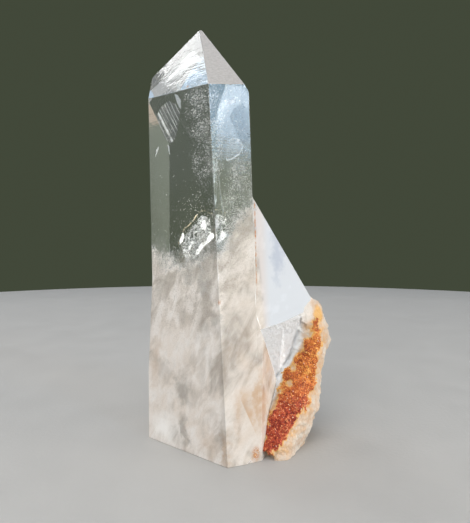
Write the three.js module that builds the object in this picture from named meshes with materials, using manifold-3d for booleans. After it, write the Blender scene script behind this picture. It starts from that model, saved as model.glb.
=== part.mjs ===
// A clear quartz crystal, standing on its broken foot.
// A smaller crystal is grown into its right flank, and a raw, rough lump is grown on below that.
// Lengths are in millimetres and angles in degrees. +Z is up, -Y is the front and +X is to the right.
// The crystals are drawn about the upright line through the main tip, the growth axis.
// At the end the whole solid is moved, so that its origin is the middle of the box's bottom face.

import * as THREE from 'three';
import { ConvexGeometry } from 'three/addons/geometries/ConvexGeometry.js';
import { mergeVertices } from 'three/addons/utils/BufferGeometryUtils.js';
import Module from 'manifold-3d';

// Main crystal: the six prism faces
// azimuth is the compass direction that a face looks in, 0 to the front and positive to the right,
// foot is its distance from the growth axis at the resting level, and lean is its tilt up from upright.
const PRISM_FACES = {
  frontLeft: { azimuth: -39.8, lean: 0.25, foot: 11.6 },
  frontRight: { azimuth: 22, lean: 3.6, foot: 22.15 },
  right: { azimuth: 87, lean: 2, foot: 15.6 },
  backRight: { azimuth: 144, lean: 1.6, foot: 11.1 },
  backLeft: { azimuth: -158, lean: 1.8, foot: 15.5 },
  left: { azimuth: -93.5, lean: 0, foot: 13.25 },
};
// The left face is drawn in a little at mid height, so it is three flat growth steps
const WAIST = { z: 41, depth: 1.35 };
const SHOULDER = { z: 87, depth: 0.47 };
const FOOT_STEP = { z: 17, depth: 0 };

// Main crystal: the point
// slope is a face's tilt from level and top is the height where it meets the growth axis.
const TIP_HEIGHT = 105.3;
const POINT_FACES = {
  frontLeft: { azimuth: -39.1, slope: 59.4, top: TIP_HEIGHT },
  frontRight: { azimuth: 16.7, slope: 47.7, top: TIP_HEIGHT - 0.6 },
  right: { azimuth: 88, slope: 58.1, top: TIP_HEIGHT },
  backRight: { azimuth: 144, slope: 53, top: TIP_HEIGHT },
  backLeft: { azimuth: -158, slope: 54, top: TIP_HEIGHT },
  left: { azimuth: -100, slope: 43.2, top: TIP_HEIGHT },
};
const BACK_CORNER_FACE = { azimuth: 179, slope: 72 };
const BACK_CORNER_FOOT = { x: -2.6, y: 12.95, z: 77.2 };

// Side crystal: a polished front face under a long ridge that falls to the right
const RIDGE_TOP = { x: 13.2, y: -10.5, z: 60.8 };
const RIDGE_END = { x: 28.25, y: -3, z: 36.25 };
const FRONT_FOOT = { x: 14.5, y: -15.6, z: 31.1 };
const BREAK_LEFT = { x: 14.45, y: -15.8, z: 30.2 };
const BREAK_MIDDLE = { x: 20.6, y: -10.45, z: 31.15 };
const BREAK_RIGHT = { x: 25.6, y: -5.95, z: 32.65 };
const BREAK_LOW_LEFT = { x: 19.2, y: -6.6, z: 16 };
const BREAK_LOW_RIGHT = { x: 26.4, y: -1.6, z: 22 };
const SIDE_FACES = {
  ridge: { azimuth: 108, slope: 56 },
  crest: { azimuth: 166, slope: 62 },
  backRight: { azimuth: 144, slope: 87 },
  backLeft: { azimuth: -158, slope: 88 },
  end: { azimuth: 76, slope: 96 },
};
const CREST_DEPTH = 6.5;
const SIDE_BACK_RIGHT = { x: 26.5, y: 4.6, z: 30 };
const SIDE_BACK_LEFT = { x: 17, y: 7.4, z: 20 };
const INSET = 0.3;
const INNER_END = 8.5;

// Flank below the side crystal, a flat face that widens downwards from the end of the front edge
const FLANK_TOP = { x: 14.7, y: -16.5, z: 30.5 };
const FLANK_SHOULDER = { x: 19.4, y: -7.5, z: 15.3 };
const FLANK_FACE = { azimuth: 64, lean: 1 };
const FLANK_END = { azimuth: 102, lean: 0.5 };
const FLANK_BACK_REACH = 4;

// Chip at the right corner of the foot, undercut so that it stays low
const CORNER_CHIP = { azimuth: 50, slope: 117, x: 11.4, y: -19.2 };

// Small smooth knob at the end of the ridge
const KNOB_POINTS = {
  frontTop: { x: 25.7, y: -5.2, z: 34.7 },
  ridgeTop: { x: 26.9, y: -3.6, z: 36.3 },
  top: { x: 28.3, y: -2.6, z: 36.5 },
  rightTop: { x: 29.6, y: -2.5, z: 35.2 },
  right: { x: 30.3, y: -2.4, z: 33.4 },
  rightLow: { x: 30.7, y: -2.2, z: 31.4 },
  frontLow: { x: 28.7, y: -5.1, z: 30.2 },
  frontFoot: { x: 27, y: -6.1, z: 29.6 },
  leftFoot: { x: 25.5, y: -6, z: 30.3 },
  left: { x: 25.2, y: -6, z: 32.6 },
  backTop: { x: 27.6, y: 1.5, z: 35.8 },
  backRight: { x: 30.2, y: 1.4, z: 32.6 },
  backFoot: { x: 27, y: 2.4, z: 29.4 },
};

// Raw lump at the right: the level rings of its mean shape, from below the resting level to its top
const LUMP_RINGS = [
  { z: -3, x: 17.3, y: -4.6, halfWidth: 8.6, halfDepth: 12 },
  { z: 0, x: 17.4, y: -4.8, halfWidth: 9, halfDepth: 12 },
  { z: 3, x: 17.8, y: -4.2, halfWidth: 9.7, halfDepth: 12.3 },
  { z: 8, x: 19.3, y: -3, halfWidth: 10, halfDepth: 11.7 },
  { z: 13, x: 21.6, y: -1.4, halfWidth: 8.6, halfDepth: 9.8 },
  { z: 17, x: 23.6, y: -0.6, halfWidth: 7.2, halfDepth: 8.2 },
  { z: 21, x: 26, y: -0.4, halfWidth: 6.2, halfDepth: 6.9 },
  { z: 25, x: 27.6, y: -0.4, halfWidth: 5.8, halfDepth: 6.5 },
  { z: 29, x: 27.6, y: -0.2, halfWidth: 5.2, halfDepth: 5.9 },
  { z: 32, x: 27.3, y: 0, halfWidth: 3.9, halfDepth: 4.8 },
  { z: 35, x: 27, y: 0.4, halfWidth: 2.4, halfDepth: 3.2 },
];
const LUMP_ROUGHNESS = { sides: 56, levels: 30, swell: 1.1, grain: 0.55, ledge: 1.7, seed: 11 };

// Raw ledge at the foot of the back faces, where the crystal broke from its bed
const BACK_RINGS = [
  { z: -2, x: 9.5, y: 7.2, halfWidth: 10.5, halfDepth: 6.2 },
  { z: 2, x: 9.5, y: 7.2, halfWidth: 10.8, halfDepth: 6.4 },
  { z: 6, x: 11, y: 6.4, halfWidth: 9.6, halfDepth: 5.8 },
  { z: 10, x: 12.6, y: 5.4, halfWidth: 7.4, halfDepth: 5 },
  { z: 13.5, x: 13.6, y: 4.6, halfWidth: 4, halfDepth: 3.4 },
];
const BACK_ROUGHNESS = { sides: 36, levels: 12, swell: 0.9, grain: 0.5, ledge: 1.5, seed: 29 };

// Hollow under the front of the lump
const HOLLOW = { x: 15.3, y: -16.9, z: 0.2, halfWidth: 2.7, halfDepth: 2.6, halfHeight: 1.9 };

// A box big enough to hold everything above the resting level
const WORK_SPAN = 160;

const wasm = await Module();
wasm.setup();

const rad = THREE.MathUtils.degToRad;
const vec = (p) => new THREE.Vector3(p.x, p.y, p.z);

// Outward normal of a face that looks in a compass direction and is tilted up by an angle
function normalOf(azimuth, tilt) {
  const level = Math.cos(rad(tilt));
  return new THREE.Vector3(Math.sin(rad(azimuth)) * level, -Math.cos(rad(azimuth)) * level, Math.sin(rad(tilt)));
}

function faceAt(normal, point) {
  return { normal, reach: normal.dot(point) };
}

function prismFace({ azimuth, lean, foot }) {
  return faceAt(normalOf(azimuth, lean), normalOf(azimuth, 0).multiplyScalar(foot));
}

function pointFace({ azimuth, slope, top }) {
  return faceAt(normalOf(azimuth, 90 - slope), new THREE.Vector3(0, 0, top));
}

// Face through three points, looking away from a fourth
function faceThrough(a, b, c, inside) {
  const normal = b.clone().sub(a).cross(c.clone().sub(a)).normalize();
  if (normal.dot(inside.clone().sub(a)) > 0) normal.negate();
  return faceAt(normal, a);
}

// Closed convex solid that a set of faces bounds
function convexSolid(faces) {
  const corners = [];
  for (let i = 0; i < faces.length; i += 1) {
    for (let j = i + 1; j < faces.length; j += 1) {
      for (let k = j + 1; k < faces.length; k += 1) {
        const across = new THREE.Vector3().crossVectors(faces[j].normal, faces[k].normal);
        const scale = faces[i].normal.dot(across);
        if (Math.abs(scale) < 1e-7) continue;
        const corner = across.multiplyScalar(faces[i].reach)
          .add(new THREE.Vector3().crossVectors(faces[k].normal, faces[i].normal).multiplyScalar(faces[j].reach))
          .add(new THREE.Vector3().crossVectors(faces[i].normal, faces[j].normal).multiplyScalar(faces[k].reach))
          .divideScalar(scale);
        const held = faces.every((face) => face.normal.dot(corner) <= face.reach + 1e-6);
        if (held && corners.every((other) => other.distanceTo(corner) > 1e-4)) corners.push(corner);
      }
    }
  }
  return new ConvexGeometry(corners);
}

function toSolid(geometry) {
  const bare = geometry.clone();
  bare.deleteAttribute('normal');
  bare.deleteAttribute('uv');
  const merged = mergeVertices(bare, 1e-4);
  return new wasm.Manifold(new wasm.Mesh({
    numProp: 3,
    vertProperties: new Float32Array(merged.attributes.position.array),
    triVerts: new Uint32Array(merged.index.array),
  }));
}

function toGeometry(solid) {
  const mesh = solid.getMesh();
  const geometry = new THREE.BufferGeometry();
  geometry.setAttribute('position', new THREE.BufferAttribute(new Float32Array(mesh.vertProperties), 3));
  geometry.setIndex(new THREE.BufferAttribute(new Uint32Array(mesh.triVerts), 1));
  return geometry;
}

// Smooth seeded noise between -1 and 1
function cellValue(x, y, z, seed) {
  const mixed = Math.sin(x * 127.1 + y * 311.7 + z * 74.7 + seed * 53.3) * 43758.5453;
  return (mixed - Math.floor(mixed)) * 2 - 1;
}

function noise(x, y, z, seed) {
  const cell = [Math.floor(x), Math.floor(y), Math.floor(z)];
  const ease = [x, y, z].map((value, axis) => {
    const part = value - cell[axis];
    return part * part * (3 - 2 * part);
  });
  let sum = 0;
  for (let corner = 0; corner < 8; corner += 1) {
    const step = [corner & 1, (corner >> 1) & 1, (corner >> 2) & 1];
    const weight = step.reduce((total, bit, axis) => total * (bit ? ease[axis] : 1 - ease[axis]), 1);
    sum += weight * cellValue(cell[0] + step[0], cell[1] + step[1], cell[2] + step[2], seed);
  }
  return sum;
}

// Size of the mean shape at a height, read between its rings
function ringAt(rings, z) {
  let upper = 1;
  while (upper < rings.length - 1 && rings[upper].z < z) upper += 1;
  const below = rings[upper - 1];
  const above = rings[upper];
  const share = THREE.MathUtils.clamp((z - below.z) / (above.z - below.z), 0, 1);
  const between = (key) => THREE.MathUtils.lerp(below[key], above[key], share);
  return { z, x: between('x'), y: between('y'), halfWidth: between('halfWidth'), halfDepth: between('halfDepth') };
}

// Broken rock surface about a stack of rings: swells, ledges that step inwards, and a coarse grain
function roughLump(rings, { sides, levels, swell, grain, ledge, seed }) {
  const low = rings[0].z;
  const high = rings[rings.length - 1].z;
  const positions = [];
  const triangles = [];
  for (let level = 0; level <= levels; level += 1) {
    const ring = ringAt(rings, low + (high - low) * level / levels);
    for (let side = 0; side < sides; side += 1) {
      const turn = 2 * Math.PI * side / sides;
      const east = Math.cos(turn);
      const north = Math.sin(turn);
      const x = ring.x + ring.halfWidth * east;
      const y = ring.y + ring.halfDepth * north;
      const wave = noise(x / 6, y / 6, ring.z / 7, seed);
      const shelf = noise(x / 3.4, y / 3.4, ring.z / 2.2, seed + 3);
      const fine = noise(x / 1.3, y / 1.3, ring.z / 1.3, seed + 7);
      const step = Math.round(shelf * 2.2) / 2.2 * 0.5;
      const push = wave * swell + step * ledge * 0.5 + fine * grain;
      const sink = noise(x / 2.1, y / 2.1, ring.z / 2.1, seed + 13) * grain * 0.6;
      const inner = level > 0 && level < levels ? 1 : 0;
      positions.push(x + push * east, y + push * north, ring.z + sink * inner);
    }
  }
  for (let level = 0; level < levels; level += 1) {
    for (let side = 0; side < sides; side += 1) {
      const next = (side + 1) % sides;
      const a = level * sides + side;
      const b = level * sides + next;
      const c = a + sides;
      const d = b + sides;
      if ((level + side) % 2 === 0) triangles.push(a, b, d, a, d, c);
      else triangles.push(a, b, c, b, d, c);
    }
  }
  const bottom = positions.length / 3;
  positions.push(rings[0].x, rings[0].y, low);
  const crown = rings[rings.length - 1];
  positions.push(crown.x, crown.y, high + 0.8);
  for (let side = 0; side < sides; side += 1) {
    const next = (side + 1) % sides;
    triangles.push(bottom, next, side);
    triangles.push(bottom + 1, levels * sides + side, levels * sides + next);
  }
  const geometry = new THREE.BufferGeometry();
  geometry.setAttribute('position', new THREE.BufferAttribute(new Float32Array(positions), 3));
  geometry.setIndex(triangles);
  return geometry;
}

// Main crystal, joined from two that differ only in their left face, which makes the waist
const down = new THREE.Vector3(0, 0, -1);
const restingFace = { normal: down, reach: 0 };
const left = PRISM_FACES.left;
const sharedFaces = [
  ...Object.values(PRISM_FACES).filter((face) => face !== left).map(prismFace),
  ...Object.values(POINT_FACES).map(pointFace),
  faceAt(normalOf(BACK_CORNER_FACE.azimuth, 90 - BACK_CORNER_FACE.slope), vec(BACK_CORNER_FOOT)),
  faceAt(normalOf(CORNER_CHIP.azimuth, 90 - CORNER_CHIP.slope), new THREE.Vector3(CORNER_CHIP.x, CORNER_CHIP.y, 0)),
  restingFace,
];
const waistPoint = normalOf(left.azimuth, 0).multiplyScalar(left.foot - WAIST.depth).setZ(WAIST.z);
const leanFromWaist = (end) => THREE.MathUtils.radToDeg(Math.atan((WAIST.depth - end.depth) / (WAIST.z - end.z)));
const upperLeft = faceAt(normalOf(left.azimuth, leanFromWaist(SHOULDER)), waistPoint);
const lowerLeft = faceAt(normalOf(left.azimuth, leanFromWaist(FOOT_STEP)), waistPoint);
const mainCrystal = toSolid(convexSolid([...sharedFaces, upperLeft]))
  .add(toSolid(convexSolid([...sharedFaces, prismFace(left), lowerLeft])));

// Inner ends of the pieces that grow out of the main crystal, kept just behind its front face
const frontRight = prismFace(PRISM_FACES.frontRight);
const insideFront = { normal: frontRight.normal, reach: frontRight.reach - INSET };
const insideLeft = { normal: new THREE.Vector3(-1, 0, 0), reach: -INNER_END };

// Side crystal
const heart = new THREE.Vector3(16, -4, 28);
const sideFace = ({ azimuth, slope }, point) => faceAt(normalOf(azimuth, 90 - slope), point);
const crestPoint = vec(RIDGE_TOP).add(new THREE.Vector3(0, CREST_DEPTH, 0));
const sideFaces = [
  faceThrough(vec(RIDGE_TOP), vec(RIDGE_END), vec(FRONT_FOOT), heart),
  sideFace(SIDE_FACES.ridge, vec(RIDGE_TOP).add(vec(RIDGE_END)).multiplyScalar(0.5)),
  sideFace(SIDE_FACES.crest, crestPoint),
  sideFace(SIDE_FACES.backRight, vec(SIDE_BACK_RIGHT)),
  sideFace(SIDE_FACES.backLeft, vec(SIDE_BACK_LEFT)),
  sideFace(SIDE_FACES.end, vec(RIDGE_END)),
  faceThrough(vec(BREAK_LEFT), vec(BREAK_MIDDLE), vec(BREAK_LOW_LEFT), heart),
  faceThrough(vec(BREAK_MIDDLE), vec(BREAK_RIGHT), vec(BREAK_LOW_RIGHT), heart),
  insideFront,
  insideLeft,
  restingFace,
];
const sideCrystal = toSolid(convexSolid(sideFaces));

// Flank
const flankFaces = [
  faceAt(normalOf(FLANK_FACE.azimuth, FLANK_FACE.lean), vec(FLANK_TOP)),
  faceThrough(vec(FLANK_TOP), vec(FLANK_SHOULDER), vec(FLANK_SHOULDER).add(new THREE.Vector3(-4, 8, 2.5)), heart.clone().setZ(0)),
  faceAt(normalOf(FLANK_END.azimuth, FLANK_END.lean), vec(FLANK_SHOULDER)),
  insideFront,
  { normal: new THREE.Vector3(0, 1, 0), reach: FLANK_BACK_REACH },
  insideLeft,
  restingFace,
];
const flank = toSolid(convexSolid(flankFaces));

// Knob, raw lump, raw ledge and the hollow
const knob = toSolid(new ConvexGeometry(Object.values(KNOB_POINTS).map(vec)));
const rawLump = toSolid(roughLump(LUMP_RINGS, LUMP_ROUGHNESS));
const rawLedge = toSolid(roughLump(BACK_RINGS, BACK_ROUGHNESS));
const hollowShape = new THREE.SphereGeometry(1, 14, 10);
hollowShape.scale(HOLLOW.halfWidth, HOLLOW.halfDepth, HOLLOW.halfHeight);
hollowShape.translate(HOLLOW.x, HOLLOW.y, HOLLOW.z);

const above = new THREE.BoxGeometry(WORK_SPAN, WORK_SPAN, WORK_SPAN);
above.translate(0, 0, WORK_SPAN / 2);

const grown = mainCrystal
  .add(sideCrystal)
  .add(flank)
  .add(knob)
  .add(rawLump.subtract(toSolid(hollowShape)))
  .add(rawLedge)
  .intersect(toSolid(above));

const body = toGeometry(grown);
body.computeBoundingBox();
const box = body.boundingBox;
body.translate(-(box.min.x + box.max.x) / 2, -(box.min.y + box.max.y) / 2, -box.min.z);
body.computeVertexNormals();

const quartz = new THREE.MeshStandardMaterial({ color: 0xdcd6d0, roughness: 0.12, metalness: 0 });
const crystal = new THREE.Mesh(body, quartz);
crystal.name = 'quartz_crystal';

const group = new THREE.Group();
group.add(crystal);

export default group;
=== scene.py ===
"""Clear quartz crystal specimen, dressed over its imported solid.

Lengths are in metres, apart from tables and arguments that are said to be in millimetres.
"""

import math
import random

import bmesh
import bpy
from mathutils import Euler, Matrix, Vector, noise
from mathutils.bvhtree import BVHTree
from mathutils.kdtree import KDTree


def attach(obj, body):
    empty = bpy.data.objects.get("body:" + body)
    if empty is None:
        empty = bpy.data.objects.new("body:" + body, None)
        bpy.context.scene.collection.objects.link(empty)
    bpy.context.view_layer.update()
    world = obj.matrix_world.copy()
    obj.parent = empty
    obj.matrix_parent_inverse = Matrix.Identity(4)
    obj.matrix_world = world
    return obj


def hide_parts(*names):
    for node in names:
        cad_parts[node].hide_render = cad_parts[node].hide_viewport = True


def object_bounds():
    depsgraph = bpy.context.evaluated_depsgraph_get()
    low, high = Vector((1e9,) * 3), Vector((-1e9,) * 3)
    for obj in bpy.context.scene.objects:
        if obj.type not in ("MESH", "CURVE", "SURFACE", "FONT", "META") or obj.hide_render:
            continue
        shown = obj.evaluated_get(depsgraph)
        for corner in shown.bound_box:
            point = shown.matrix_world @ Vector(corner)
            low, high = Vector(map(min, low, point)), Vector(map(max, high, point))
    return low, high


bl_info = {
    "name": "Quartz crystal specimen",
    "version": (1, 0, 0),
    "blender": (4, 5, 0),
    "location": "3D View > Sidebar > Quartz",
    "description": "Clear quartz point with a side crystal, healed veils, fractures and an iron crust",
    "category": "Object",
}

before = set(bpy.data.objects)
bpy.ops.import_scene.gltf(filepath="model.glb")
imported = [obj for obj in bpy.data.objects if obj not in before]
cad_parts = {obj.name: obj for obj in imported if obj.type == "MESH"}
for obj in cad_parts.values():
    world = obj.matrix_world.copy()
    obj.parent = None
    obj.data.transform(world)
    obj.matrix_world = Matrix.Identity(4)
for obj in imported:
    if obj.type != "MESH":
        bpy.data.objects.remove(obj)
CAD_LOW, CAD_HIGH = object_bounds()
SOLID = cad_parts["quartz_crystal"]
BODY = "root"
MM = 0.001


def mm(x, y, z):
    """A point given in millimetres, in metres."""
    return Vector((x, y, z)) * MM


def smooth_step(low, high, value):
    """0 below low, 1 above high, and a soft rise between."""
    t = min(1.0, max(0.0, (value - low) / (high - low)))
    return t * t * (3 - 2 * t)


# Places on the crystal, measured in the frame of the solid

# Middle line of the iron crust, from the knob down to the foot: point, half width
CRUST_LINE = (
    (mm(19.3, -2.2, 31.0), 0.6 * MM),
    (mm(18.9, -2.8, 28.0), 1.3 * MM),
    (mm(18.2, -3.3, 24.4), 2.2 * MM),
    (mm(16.2, -4.1, 19.7), 3.0 * MM),
    (mm(14.7, -4.6, 16.0), 3.8 * MM),
    (mm(13.2, -6.7, 12.9), 3.8 * MM),
    (mm(11.0, -9.5, 10.2), 3.4 * MM),
    (mm(8.9, -12.0, 7.4), 2.8 * MM),
    (mm(7.4, -13.3, 4.4), 2.1 * MM),
    (mm(5.6, -13.8, 1.4), 1.3 * MM),
    (mm(3.2, -15.4, 1.0), 0.9 * MM),
)
# Clean white spots left open in the crust: point, radius
CRUST_WINDOWS = (
    (mm(13.3, -4.6, 19.4), 0.9 * MM),
    (mm(12.1, -6.6, 15.7), 1.1 * MM),
)

# Height that the cloudy quartz reaches at each place across the crystal, in millimetres
MILK_LIMIT = ((-24, 49), (-22.8, 48), (-13.6, 45), (-5.3, 50), (2.9, 60), (24, 85))
# Height that is the top of the curve's range
MILK_TOP = 100
# Windows where the cloud is thin: centre and half size in millimetres, strength
THIN_WINDOWS = (
    ((-13.6, -8.0, 14.5), (4.2, 6.0, 5.0), 0.85),
    ((-13.8, -8.0, 5.0), (1.9, 6.0, 5.5), 0.75),
    ((-8.4, -13.0, 40.0), (2.6, 5.0, 4.2), 0.85),
    ((-6.8, -14.6, 33.0), (1.8, 5.0, 3.0), 0.6),
    ((-12.0, -9.0, 43.0), (3.0, 6.0, 3.2), 0.7),
    ((-19.5, -5.0, 39.0), (4.0, 5.0, 4.5), 0.45),
    ((-18.5, -5.0, 19.0), (4.5, 5.0, 3.0), 0.35),
)
# Peach washes of iron: centre and half size in millimetres, strength
PEACH_STAINS = (
    ((1.2, -16.2, 11.0), (4.4, 5.0, 8.5), 0.9),
    ((4.2, -13.4, 14.0), (2.6, 5.0, 12.0), 0.9),
    ((-3.6, -17.4, 4.0), (1.9, 5.0, 7.0), 0.9),
    ((-7.4, -15.0, 3.5), (3.0, 4.0, 4.0), 0.45),
    ((5.8, -11.0, 20.0), (2.5, 5.0, 9.0), 0.55),
    ((-21.5, -3.0, 20.0), (2.4, 6.0, 9.0), 0.35),
    ((0.0, -15.0, 24.0), (6.0, 6.0, 10.0), 0.35),
)
# Rusty spots on the flat faces: centre and half size, in millimetres
RUST_SPOTS = (
    ((-12.5, -9.4, 86.9), (0.5, 0.5, 0.7)),
    ((-4.9, -16.4, 37.0), (0.45, 0.8, 0.9)),
    ((3.4, -15.4, 2.0), (1.7, 1.6, 2.6)),
)
# Clouds of white specks: middle and spread in millimetres, share of the specks
SPECK_CLOUDS = (
    ((-7.6, -8.0, 78.0), (1.8, 3.0, 8.5), 0.2),
    ((-0.6, -7.5, 66.0), (2.6, 3.6, 6.5), 0.3),
    ((-10.5, -2.0, 48.5), (6.0, 5.0, 4.5), 0.22),
    ((0.0, -6.0, 54.0), (4.0, 5.0, 5.0), 0.18),
    ((-9.0, 2.0, 70.0), (8.0, 6.0, 16.0), 0.05),
    ((-4.0, -4.0, 92.0), (4.0, 3.0, 6.0), 0.05),
)
# Colours of the iron crust from its dark red pits to its yellow fringe
IRON_RAMP = (
    (0.30, (0.22, 0.034, 0.012)),
    (0.43, (0.48, 0.100, 0.022)),
    (0.53, (0.74, 0.23, 0.035)),
    (0.68, (0.90, 0.50, 0.13)),
)
# The same lower down, where the crust is redder and has pale quartz grains in it
LOW_IRON_RAMP = (
    (0.30, (0.16, 0.018, 0.012)),
    (0.44, (0.37, 0.036, 0.014)),
    (0.54, (0.60, 0.10, 0.030)),
    (0.66, (0.80, 0.33, 0.14)),
)
# Line where the side crystal meets the point, stained by iron, in millimetres
SEAM = ((3.3, -7.8, 60.0), (3.75, -12.1, 37.5))


# Outlines of the marks inside the quartz, in millimetres: first the feathery fracture
FEATHER = (
    (-14.5, -5.2, 49.5), (-13.5, -4.9, 52.9), (-11.4, -5.2, 54.6), (-8.7, -5.4, 57.5), (-6.9, -5.8, 58.1),
    (-4.0, -6.8, 57.1), (-3.9, -7.9, 51.0), (-6.8, -7.6, 48.1), (-9.1, -7.4, 45.7), (-11.8, -6.8, 44.7),
    (-14.0, -5.8, 46.6),
)
# Bright open patches in the feathery fracture
FEATHER_PATCHES = (
    ((-7.2, -6.7, 56.5), (-6.3, -7.0, 56.0), (-5.7, -7.5, 54.3), (-6.5, -7.5, 52.6),
     (-7.6, -7.1, 53.1), (-8.2, -7.2, 51.7), (-8.9, -6.9, 52.2), (-8.4, -6.7, 54.3), (-7.8, -6.7, 55.5)),
    ((-3.9, -8.2, 52.9), (-3.8, -8.5, 51.5), (-5.2, -8.3, 50.3), (-6.6, -8.1, 49.3), (-7.8, -8.0, 48.1),
     (-8.7, -7.9, 47.0), (-9.8, -7.6, 46.9), (-10.0, -7.3, 48.6), (-8.8, -7.3, 50.0), (-8.0, -7.5, 50.8),
     (-6.8, -7.7, 51.2), (-6.2, -7.6, 52.4), (-5.1, -7.8, 53.3)),
    ((-13.0, -5.5, 53.7), (-12.4, -5.7, 53.2), (-12.2, -6.1, 51.5), (-12.8, -6.2, 50.3),
     (-13.7, -6.0, 49.5), (-14.7, -5.9, 48.8), (-14.6, -5.5, 51.0), (-13.9, -5.5, 52.5)),
    ((-10.1, -6.3, 53.9), (-9.2, -6.4, 54.8), (-8.3, -6.5, 55.3), (-9.0, -6.7, 53.4), (-9.8, -6.6, 52.7)),
    ((-12.0, -6.5, 49.5), (-10.8, -6.6, 51.0), (-9.9, -7.0, 50.3), (-10.6, -7.1, 48.6),
     (-11.8, -6.9, 47.6)),
)
# Golden upper edge of the feathery fracture
FEATHER_EDGE = (
    (-14.8, -5.8, 49.3), (-14.3, -5.6, 51.0), (-13.3, -5.5, 52.9), (-12.7, -5.5, 54.0), (-11.5, -5.8, 54.6),
    (-10.0, -5.9, 56.0), (-8.8, -6.0, 57.3), (-7.9, -6.2, 58.0), (-6.8, -6.5, 58.1), (-5.5, -7.0, 57.5),
    (-3.6, -7.5, 57.2), (-3.6, -7.6, 56.9), (-5.5, -7.0, 57.2), (-6.8, -6.5, 57.8), (-7.8, -6.2, 57.7),
    (-8.5, -6.2, 57.1), (-9.7, -6.1, 55.7), (-11.3, -5.9, 54.3), (-12.4, -5.7, 53.7), (-13.0, -5.7, 52.7),
    (-13.9, -5.7, 50.9), (-14.5, -5.9, 49.3),
)
# Stepped plate at the upper left of the prism
PLATE = (
    (-18.7, 8.7, 83.3), (-17.5, 7.7, 85.4), (-15.1, 5.8, 86.9), (-12.9, 4.0, 85.4), (-11.6, 2.9, 83.1),
    (-12.4, 3.6, 79.3), (-13.0, 4.1, 76.9), (-14.4, 5.3, 75.6), (-16.1, 6.6, 77.1),
)
# Shell-shaped fracture beside the front edge
SHELL = (
    (-3.9, -10.5, 73.8), (-2.3, -9.8, 74.8), (-0.4, -9.1, 74.4), (0.4, -8.8, 72.9), (-0.6, -9.3, 70.8),
    (-2.5, -10.3, 69.4), (-3.9, -10.8, 68.9), (-4.6, -11.0, 71.6),
)
# Soft white patch above it
WHITE_PATCH = (
    (-4.8, -10.3, 82.0), (-3.6, -9.8, 84.0), (-1.6, -8.9, 85.2), (-0.6, -8.5, 83.8), (-1.6, -9.0, 82.0),
    (-3.0, -9.6, 81.2),
)
# Pale streaks beside the front edge
STREAKS = (
    ((-6.4, -10.3, 72.1), (-6.0, -10.4, 71.9), (-5.4, -11.3, 68.1), (-4.7, -12.5, 62.4),
     (-3.6, -13.8, 56.9), (-4.7, -13.5, 56.6), (-5.5, -12.5, 61.0), (-6.0, -11.5, 65.8),
     (-6.4, -10.8, 69.3)),
    ((-5.5, -12.8, 50.0), (-5.2, -12.6, 50.0), (-4.5, -13.1, 37.4), (-4.8, -13.3, 37.4)),
)
# Small bright flares at the upper left
FLARES = (
    ((-20.0, 5.2, 72.2), (-19.6, 4.9, 74.4), (-18.4, 4.0, 75.6), (-18.8, 4.3, 73.8), (-19.5, 4.9, 72.4)),
    ((-16.5, 2.4, 75.6), (-15.6, 1.7, 74.8), (-15.3, 1.4, 71.0), (-15.9, 1.9, 73.0)),
    ((-13.6, 4.1, 88.2), (-12.5, 3.2, 87.7), (-11.6, 2.5, 86.1), (-11.6, 2.5, 83.3), (-12.5, 3.2, 84.6),
     (-13.2, 3.8, 86.6)),
)
# Direction across the bright steps of the step plate, and how far apart they are in millimetres
STEP_DIRECTION = (0.651, -0.532, 0.542)
STEP_SPACING = 0.95
# Hazes of fine white specks in the clear quartz: outlines in millimetres
HAZES = (
    ((-12.6, -2.0, 87.4), (-4.9, -4.3, 88.0), (-4.4, -6.4, 76.8), (-4.5, -8.1, 67.3), (-5.9, -8.8, 61.5),
     (-10.2, -6.4, 65.6), (-11.0, -4.9, 72.4), (-12.4, -3.1, 79.9)),
    ((-12.5, -5.4, 87.6), (-5.2, -9.6, 88.0), (-4.6, -11.0, 76.8), (-4.5, -12.0, 66.0), (-7.0, -10.6, 65.6),
     (-8.0, -9.6, 72.4), (-10.6, -7.4, 79.9)),
    ((-3.9, -10.8, 70.0), (0.8, -9.0, 71.5), (2.6, -8.6, 66.0), (2.9, -8.6, 58.0), (-1.0, -11.0, 54.0),
     (-4.6, -12.6, 50.0), (-4.8, -12.0, 60.0)),
    ((-3.9, -6.8, 69.0), (0.8, -5.0, 70.5), (2.6, -4.6, 65.0), (2.9, -4.6, 57.0), (-1.0, -7.0, 53.0),
     (-4.6, -8.6, 49.0), (-4.8, -8.0, 59.0)),
)

# Bluish painted reflection on the side crystal, painted light on the thicker cloud at the left of the foot,
# pale knob above the crust and the stain beside it: centre and half size in millimetres
SIDE_PAINTED_REFLECTION = ((8.9, -5.9, 47.0), (2.6, 4.0, 9.0))
FOOT_PAINTED_LIGHT = ((-18.6, -5.0, 4.2), (8.0, 6.5, 6.0))
PALE_KNOB = ((16.5, -2.4, 33.0), (2.6, 4.0, 3.6))
KNOB_STAIN = ((19.9, -0.6, 32.0), (1.8, 3.4, 3.2))

# Healed veils: box for their middles in millimetres, turns in radians, half sides in millimetres
VEIL_BOX = ((-18, 8), (-10, 9), (6, 50))
VEIL_TURNS = ((0.5, 2.6), (-0.8, 0.8), (0, 3.14))
VEIL_WIDTHS = (6, 13)
VEIL_HEIGHTS = (7, 17)
# Mesh cells of a veil, how far it bends, how fine the bends are, and where its top fades out
VEIL_CELLS = (44, 56)
VEIL_BEND = 2.2 * MM
VEIL_WAVES = 110
VEIL_TOP = (50 * MM, 62 * MM)
# Fewest faces of a veil, and how deep veils, fractures and specks lie at least
LEAST_VEIL_FACES = 500
VEIL_DEPTH = 0.25 * MM
SHEET_DEPTH = 0.12 * MM
SPECK_DEPTH = 0.3 * MM
# Sizes of the smallest and the largest speck, and of the smallest iron grain
SPECK_SIZES = (0.09 * MM, 0.3 * MM)
LEAST_GRAIN = 0.16 * MM

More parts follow.
